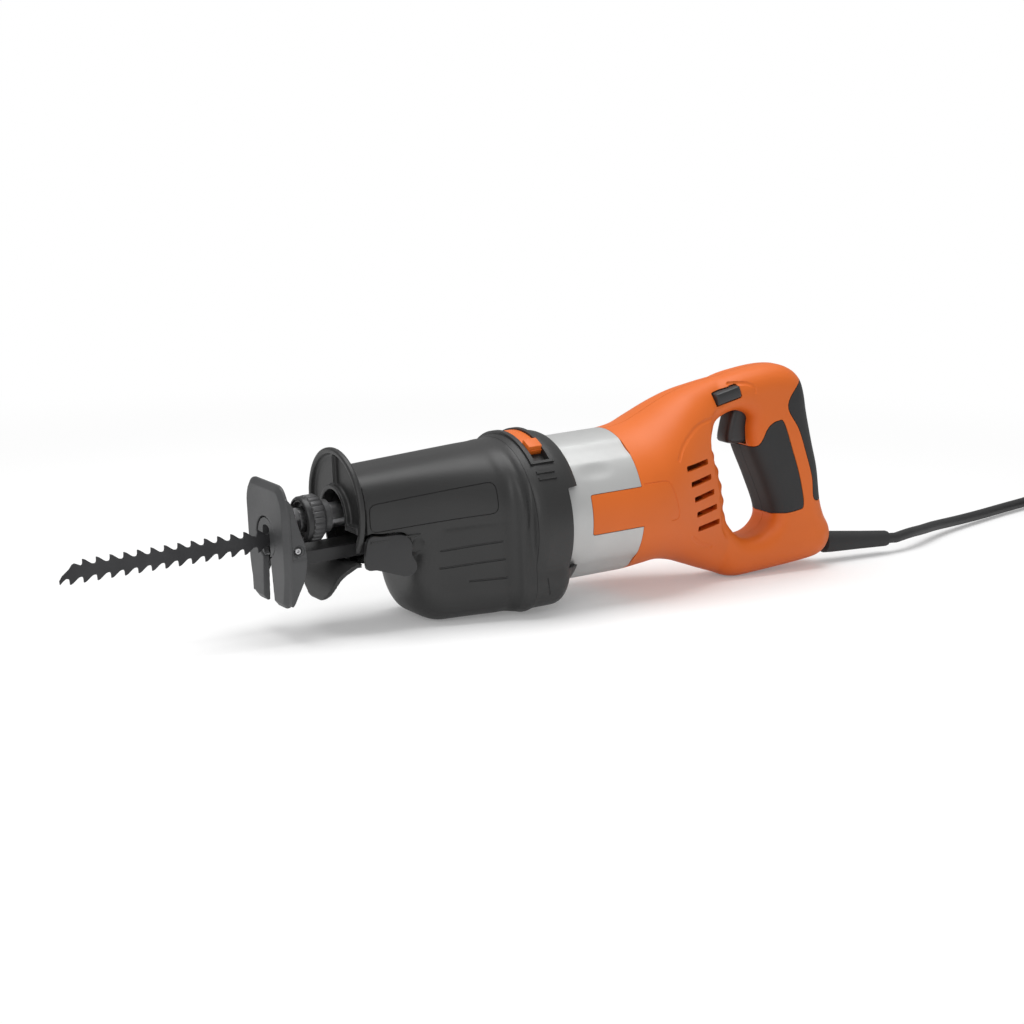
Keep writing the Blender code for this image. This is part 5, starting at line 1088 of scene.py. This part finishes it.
def make_shoe():
    right = [(SHOE_HALF_TOP, SHOE_TOP), (SHOE_HALF_WIDTH, 37.0), (SHOE_HALF_WIDTH, -8.0)]
    right += [(SHOE_HALF_BOTTOM, SHOE_BOTTOM)]
    outline = soft_corners(right + [(-y, z) for y, z in reversed(right)], 6.5)
    rings = []
    for x, inset in ((SHOE_FACE, 3.6), (SHOE_FACE + 2.6, 0.0), (SHOE_BACK, 0.0)):
        rings.append([(x, y, z) for y, z in shrink(outline, inset)])
    shoe = loft("shoe", rings)
    cheek = soft_corners([(SHOE_BACK + x, z) for x, z in CHEEK_OUTLINE], 3.0)
    for side in (-1, 1):
        ends = sorted((side * CHEEK_INNER, side * CHEEK_OUTER))
        join(shoe, prism("cheek", cheek, ends[0], ends[1]))
        ends = sorted((side * (CHEEK_OUTER - 2.0), side * (CHEEK_OUTER + 0.8)))
        ledge = prism("ledge", cheek, ends[0], ends[1])
        common(ledge, box("low", (-300.0, -90.0, -90.0), (0.0, 90.0, 1.6)))
        join(shoe, ledge)
        ends = sorted((side * (CHEEK_OUTER - 1.3), side * 60.0))
        carve(shoe, rod("seat", "Y", ends[0], ends[1], 3.9, 48, (PIVOT_X, PIVOT_Z)))
    carve(shoe, rod("hole", "X", SHOE_FACE - 5, SHOE_BACK + 1, SHOE_HOLE_RADIUS, 96, (0.0, SHOE_HOLE_Z)))
    near, far = SHOE_SLOT
    edge = [(near, SHOE_HOLE_Z), (near, 0.0), (far, SHOE_BOTTOM - 1)]
    wedge = [(-y, z) for y, z in edge] + list(reversed(edge))
    carve(shoe, loft("slot", [[(x, y, z) for y, z in wedge] for x in (SHOE_FACE - 5, SHOE_BACK + 1)]))
    carve(shoe, rod("pin_hole", "Y", -60.0, 60.0, PIVOT_PIN_RADIUS + GAP, 48, (PIVOT_X, PIVOT_Z)))
    remould(shoe, 0.55, 2)
    bush = rod("bush", "X", SHOE_FACE + 0.7, SHOE_BACK - 0.4, SHOE_HOLE_RADIUS - 1.1, 96, (0.0, SHOE_HOLE_Z))
    mouth = soft_corners([(-5.0, 0.0), (5.0, 0.0), (5.0, 20.5), (-5.0, 20.5)], 4.0)
    carve(bush, loft("mouth", [[(x, y, z) for y, z in mouth] for x in (SHOE_FACE - 5, SHOE_BACK + 5)]))
    carve(bush, box("slot", (SHOE_FACE - 5, -3.2, -20.0), (SHOE_BACK + 5, 3.2, 10.0)))
    finish_piece(bush, "shoe", CAST)
    finish_piece(shoe, "shoe", CAST, ("shoe_plate",), sharp=180.0)
    for side, name in ((-1, "left"), (1, "right")):
        ends = [side * (CHEEK_INNER - 4.5), side * (CHEEK_OUTER - 1.4)]
        edge = ends[1] - side * 0.5
        profile = [(ends[0], PIVOT_PIN_RADIUS), (edge, PIVOT_PIN_RADIUS), (ends[1], PIVOT_PIN_RADIUS - 0.5)]
        screw = turned(f"pivot_screw_{name}", "Y", profile, 32, (PIVOT_X, PIVOT_Z))
        depth = sorted((ends[1] - side * 1.6, ends[1] + side * 2.0))
        carve(screw, rod("socket", "Y", depth[0], depth[1], 1.1, 6, (PIVOT_X, PIVOT_Z)))
        finish_piece(screw, "shoe_arm", BRIGHT, (f"shoe_pivot_{name}",))


def ribbed_ring(x, radius, depth, ribs, per_rib=12):
    """A ring of flat-topped ribs with narrow grooves between them."""
    ring = []
    for step in range(ribs * per_rib):
        turn = 2 * pi * step / (ribs * per_rib)
        reach = radius - depth * max(0.0, (cos(ribs * turn) - 0.35) / 0.65)
        ring.append((x, reach * sin(turn), PLUNGER_Z + reach * cos(turn)))
    return ring


def make_clamp():
    front, back, radius = PLUNGER_FRONT + 1.6, COLLAR_FRONT + 12.6, COLLAR_RADIUS
    bore, mouth = PLUNGER_RADIUS + GAP, 12.7
    rows = [(COLLAR_FRONT + 3.0, bore, 0.0), (COLLAR_FRONT + 3.0, mouth, 0.0), (front, mouth, 0.0),
            (front, radius - 1.6, 0.0), (front + 0.6, radius - 0.8, 0.0), (front + 1.6, radius - 0.3, 0.0),
            (front + 4.0, radius - 0.3, 0.0), (front + 4.4, radius - 1.0, 0.0), (front + 4.4, bore, 0.0)]
    ring = loft("collar_ring", [ribbed_ring(x, reach, depth, COLLAR_RIBS) for x, reach, depth in rows], hollow=True)
    finish_piece(ring, "clamp", BLACK_FINE, sharp=40.0)
    start = front + 4.5
    rows = [(start, bore, 0.0), (start, radius - 0.7, 0.2), (start + 0.6, radius, 1.0), (back - 2.6, radius, 1.0),
            (back - 1.8, radius - 0.6, 0.5), (back - 1.2, radius - 1.6, 0.0), (back, radius - 2.4, 0.0),
            (back, radius - 4.5, 0.0), (back + 5.0, radius - 4.5, 0.0), (back + 5.0, bore, 0.0)]
    collar = loft("collar", [ribbed_ring(x, reach, depth, COLLAR_RIBS) for x, reach, depth in rows], hollow=True)
    finish_piece(collar, "clamp", COLLAR, ("clamp_collar",), sharp=40.0)
    front, back = PLUNGER_FRONT + 2.6, COLLAR_FRONT + 3.0 - GAP
    profile = [(back, bore), (back, 12.3), (front + 0.2, 12.3), (front, 12.1), (front, 11.5)]
    profile += [(back - 0.6, 11.3), (back - 0.6, bore)]
    retainer = turned("retainer", "X", profile, 96, (0.0, PLUNGER_Z), hollow=True)
    finish_piece(retainer, "plunger", RETAINER, ("clamp_retainer",))


def tooth_edge(first, last):
    """One toothed edge: places along the blade and heights above the root, from tip to shoe."""
    shape = [(-0.12, 0.0), (-0.05, 0.08), (-0.01, 0.3), (0.0, 0.6), (0.005, 1.0), (0.1, 0.98), (0.22, 0.84),
             (0.38, 0.56),
             (0.55, 0.25), (0.68, 0.06), (0.78, 0.0)]
    row = []
    for tooth in range(first, last):
        row += [(FIRST_TOOTH + (tooth + share) * TOOTH_PITCH, height) for share, height in shape]
    return row


def make_blade():
    root = BLADE_WIDTH / 2 - TOOTH_DEPTH
    upper = [(x, BLADE_Z + root + height * TOOTH_DEPTH) for x, height in tooth_edge(0, TEETH)]
    lower = [(x, BLADE_Z - root - height * TOOTH_DEPTH) for x, height in tooth_edge(-1, TEETH)]
    low, high = BLADE_Z - root, BLADE_Z + root
    nose = [(0.2, low - 2.9), (0.0, low - 0.6), (2.0, low + 2.2), (6.5, high - 1.4), (8.6, high + 1.2),
            (10.2, high + 1.9), (11.6, high + 1.3)]
    nose = [(BLADE_TIP + along, z) for along, z in nose]
    throat = [(BLADE_TIP + 4.2, BLADE_Z - root + 0.2), (BLADE_TIP + 2.2, BLADE_Z - root - 1.1)]
    upper_tang, lower_tang = PLUNGER_Z - 0.2, PLUNGER_Z - 7.2
    rear = BLADE_START + 20.0
    tang = [(BLADE_START - 2.0, BLADE_Z + root), (BLADE_START, upper_tang), (rear, upper_tang), (rear, lower_tang),
            (BLADE_START, lower_tang), (BLADE_START - 2.0, BLADE_Z - root)]
    upper = [point for point in upper if point[0] < BLADE_START - 2.4]
    lower = [point for point in lower if point[0] < BLADE_START - 2.4]
    outline = nose + upper + tang + list(reversed(lower)) + throat
    thin = shrink(outline, 0.28)
    rings = [(thin, -0.8), (outline, -0.5), (outline, 0.5), (thin, 0.8)]
    blade = loft("blade", [[(x, y, z) for x, z in ring] for ring, y in rings])
    carve(blade, rod("pin_hole", "Y", -5.0, 5.0, 2.3, 24, (rear - 6.0, (upper_tang + lower_tang) / 2)))
    finish_piece(blade, "plunger", BLADE, ("saw_blade",), sharp=25.0)


# Strain relief, tie and plug

def along_droop(name, profile, sides=48):
    """A lathe shape on the strain relief's drooping axis."""
    item = turned(name, "X", profile, sides)
    item.data.transform(Matrix.Rotation(RELIEF_DROOP, 4, "Y"))
    item.data.transform(Matrix.Translation(RELIEF_START))
    return item


def make_relief():
    profile = [(8.0, 5.0), (14.0, 5.0), (15.2, 7.5), (22.0, 7.5), (34.0, 7.0), (48.0, 6.4), (62.0, 5.9), (70.0, 5.6),
               (71.4, 5.2), (72.0, 4.4)]
    relief = along_droop("relief", profile)
    finish_piece(relief, "housing", RUBBER, ("strain_relief",))


def make_tie():
    low, high = [Vector(corner) for corner in (tie_low(), tie_high())]
    half = 5.0
    outer = soft_corners([(low.x, low.y), (high.x, low.y), (high.x, high.y), (low.x, high.y)], 4.0)
    inner = shrink(outer, 0.8)
    rings = []
    for outline, y in ((outer, -half), (outer, half), (inner, half), (inner, -half)):
        rings.append([(x, y, z) for x, z in outline])
    tie = loft("tie_strap", rings, hollow=True)
    tie.data.transform(Matrix.Rotation(radians(-130.0), 4, "Z"))
    tie.data.transform(Matrix.Translation((*COIL_CENTER, 0.0)))
    tie.data.transform(Matrix.Scale(MM, 4))
    finish_piece(tie, "housing", RUBBER, ("coil_tie",), placed=True)


def tie_low():
    return COIL_INNER_RADIUS - 1.0 - CORD_DIAMETER / 2 - 0.8, COIL_FLOOR - GAP - 0.8


def tie_high():
    return (COIL_INNER_RADIUS + COIL_STEP * COIL_TURNS / 2 + 1.0 + CORD_DIAMETER / 2 + 0.8,
            COIL_FLOOR + COIL_LAYER + CORD_DIAMETER + GAP + 0.8)


def make_plug():
    """The plug at the lead's far end; it points along -Y."""
    end = coil_points()[-1] - Vector((0.0, COIL_TAIL, 0.0))
    front = end.y - GAP
    shares = [(0.0, 6.2, 6.2, 2.0), (0.03, 7.0, 7.0, 2.0), (0.36, 8.4, 8.2, 2.0), (0.42, 9.0, 8.4, 2.2),
              (0.52, 15.0, 10.8, 2.6), (0.58, 17.0, 12.2, 2.8), (0.64, 17.5, 12.5, 2.9), (0.94, 17.5, 12.5, 3.0),
              (0.98, 17.0, 12.0, 3.0), (1.0, 16.0, 11.0, 3.0)]
    rings = []
    for share, wide, high, power in shares:
        ring = section(0.0, wide, end.z + high, end.z - high, power, 64)
        rings.append([(end.x + across, front - 46.0 * share, up) for _, across, up in ring])
    plug = loft("plug", rings)
    for step in range(5):
        y = front - 46.0 * (0.07 + 0.055 * step)
        for side in (-1, 1):
            low = (end.x - 20.0, y - 0.7, end.z + side * 6.6 - 2.4)
            carve(plug, box("flute", low, (end.x + 20.0, y + 0.7, end.z + side * 6.6 + 2.4)))
    face = front - 46.0
    pins = []
    for side, name in ((-1, "left"), (1, "right")):
        center = (end.x + side * 9.5, end.z)
        carve(plug, rod("socket", "Y", face - 1.0, face + 8.0, 2.7, 32, center))
        profile = [(face + 7.7, 2.4), (face - 17.0, 2.4), (face - 18.4, 1.9), (face - 19.0, 1.0)]
        pins.append((name, turned(f"plug_pin_round_{name}", "Y", profile, 32, center)))
    plug.data.transform(Matrix.Scale(MM, 4))
    finish_piece(plug, "housing", RUBBER, ("plug_body",), placed=True)
    for name, pin in pins:
        pin.data.transform(Matrix.Scale(MM, 4))
        finish_piece(pin, "housing", BRASS, (f"plug_pin_{name}",), placed=True)


make_handle()
make_controls()
make_motor_housing()
make_front()
make_shoe()
make_clamp()
make_blade()
make_relief()


# Mains lead

def coil_points(per_loop=48):
    """Spiral inwards on the floor, climb one layer at the inner loop, spiral out again."""
    half = COIL_TURNS / 2
    low = COIL_FLOOR + CORD_DIAMETER / 2
    path = []
    for step in range(round(COIL_TURNS * per_loop) + 1):
        turns = step / per_loop
        radius = COIL_INNER_RADIUS + COIL_STEP * abs(turns - half)
        rise = min(1.0, max(0.0, 2 * (turns - half) + 0.5))
        angle = pi / 2 - 2 * pi * turns
        height = low + COIL_LAYER * (3 - 2 * rise) * rise ** 2
        middle = Vector((*COIL_CENTER, height))
        path.append(middle + Vector((radius * cos(angle), radius * sin(angle), 0.0)))
    return path


def make_cord():
    axis = Vector((cos(RELIEF_DROOP), 0.0, -sin(RELIEF_DROOP)))
    tip = RELIEF_START + axis * (RELIEF_LENGTH + GAP)
    inside = TOOL @ (tip - axis * CORD_DIAMETER)
    start = TOOL @ tip
    after = TOOL @ (tip + axis * CORD_DIAMETER)
    coil = [point * MM for point in coil_points()]
    before = coil[0] - Vector((CORD_DIAMETER * MM, 0.0, 0.0))
    route = [after] + [Vector(point) * MM for point in LEAD_ROUTE] + [before]
    end = coil[-1] - Vector((0.0, COIL_TAIL * MM, 0.0))
    path = [inside, start] + smooth_row(route, 5) + coil + [end]
    curve = bpy.data.curves.new("mains_lead", "CURVE")
    curve.dimensions = "3D"
    curve.bevel_depth = CORD_DIAMETER / 2 * MM
    curve.bevel_resolution = 4
    curve.use_fill_caps = True
    line = curve.splines.new("POLY")
    line.points.add(len(path) - 1)
    for point, place in zip(line.points, path):
        point.co = (*place, 1.0)
    line.use_smooth = True
    item = bpy.data.objects.new("mains_lead", curve)
    bpy.context.scene.collection.objects.link(item)
    finish_piece(item, "housing", LEAD, ("cord_lead", "cord_coil"), placed=True)
    length = sum((b - a).length for a, b in zip(path, path[1:]))
    return item, inside, length, end


make_tie()
make_plug()
lead, lead_exit, lead_length, lead_end = make_cord()


# Floor and light

FLOOR_LIFT = 0.2


def make_stage():
    size = 8.0
    corners = [(-size, -size, 0.0), (size, -size, 0.0), (size, size, 0.0), (-size, size, 0.0)]
    floor = mesh_item("floor", corners, [(0, 1, 2, 3)])
    material = bpy.data.materials.new("floor_white")
    material.use_nodes = True
    tree = material.node_tree
    tree.nodes.clear()
    wire = Wire(tree)
    white = (1.0, 1.0, 1.0, 1.0)
    path = tree.nodes.new("ShaderNodeLightPath")
    camera, glossy, through = (Wire(tree, path.outputs[key]) for key in
                               ("Is Camera Ray", "Is Glossy Ray", "Is Transmission Ray"))
    place = wire.node("ShaderNodeNewGeometry")
    distance = wire.node("ShaderNodeVectorMath", {"operation": "LENGTH"}, {0: place}, 1)
    far = between(wire, distance, 0.45, 1.0)
    lit = wire.node("ShaderNodeBsdfDiffuse", {}, {"Color": (0.8, 0.8, 0.8, 1.0)})
    lift = wire.node("ShaderNodeEmission", {}, {"Color": white, "Strength": FLOOR_LIFT})
    near = wire.node("ShaderNodeAddShader", {}, {0: lit, 1: lift})
    plain = wire.node("ShaderNodeEmission", {}, {"Color": white, "Strength": 1.0})
    shown = wire.node("ShaderNodeMixShader", {}, {0: far, 1: near, 2: plain})
    seen = wire.node("ShaderNodeMath", {"operation": "MINIMUM"}, {0: camera + glossy + through, 1: 1.0})
    final = wire.node("ShaderNodeMixShader", {}, {0: seen, 1: lit, 2: shown})
    output = tree.nodes.new("ShaderNodeOutputMaterial")
    tree.links.new(final.socket, output.inputs["Surface"])
    floor.data.materials.append(material)

    world = bpy.data.worlds.new("studio")
    world.use_nodes = True
    tree = world.node_tree
    tree.nodes.clear()
    wire = Wire(tree)
    path = tree.nodes.new("ShaderNodeLightPath")
    camera, glossy, through = (Wire(tree, path.outputs[key]) for key in
                               ("Is Camera Ray", "Is Glossy Ray", "Is Transmission Ray"))
    soft = wire.node("ShaderNodeBackground", {}, {"Color": (1.0, 1.0, 1.0, 1.0), "Strength": 0.42})
    white = wire.node("ShaderNodeBackground", {}, {"Color": (1.0, 1.0, 1.0, 1.0), "Strength": 1.0})
    seen = wire.node("ShaderNodeMath", {"operation": "MINIMUM"}, {0: camera + through, 1: 1.0})
    final = wire.node("ShaderNodeMixShader", {}, {0: seen, 1: soft, 2: white})
    output = tree.nodes.new("ShaderNodeOutputWorld")
    tree.links.new(final.socket, output.inputs["Surface"])
    bpy.context.scene.world = world


def lamp(name, place, target, size, power):
    data = bpy.data.lights.new(name, "AREA")
    data.shape = "RECTANGLE"
    data.size, data.size_y = size
    data.energy = power
    item = bpy.data.objects.new(name, data)
    bpy.context.scene.collection.objects.link(item)
    item.location = place
    item.rotation_mode = "QUATERNION"
    item.rotation_quaternion = (Vector(target) - Vector(place)).to_track_quat("-Z", "Y")


make_stage()
lamp("top_softbox", (0.0, 0.1, 1.5), (0.0, 0.0, 0.0), (1.6, 1.0), 18.0)
lamp("left_softbox", (-1.2, -1.6, 1.0), (0.0, 0.0, 0.06), (1.2, 0.9), 9.0)
bpy.context.scene.view_settings.view_transform = "Standard"
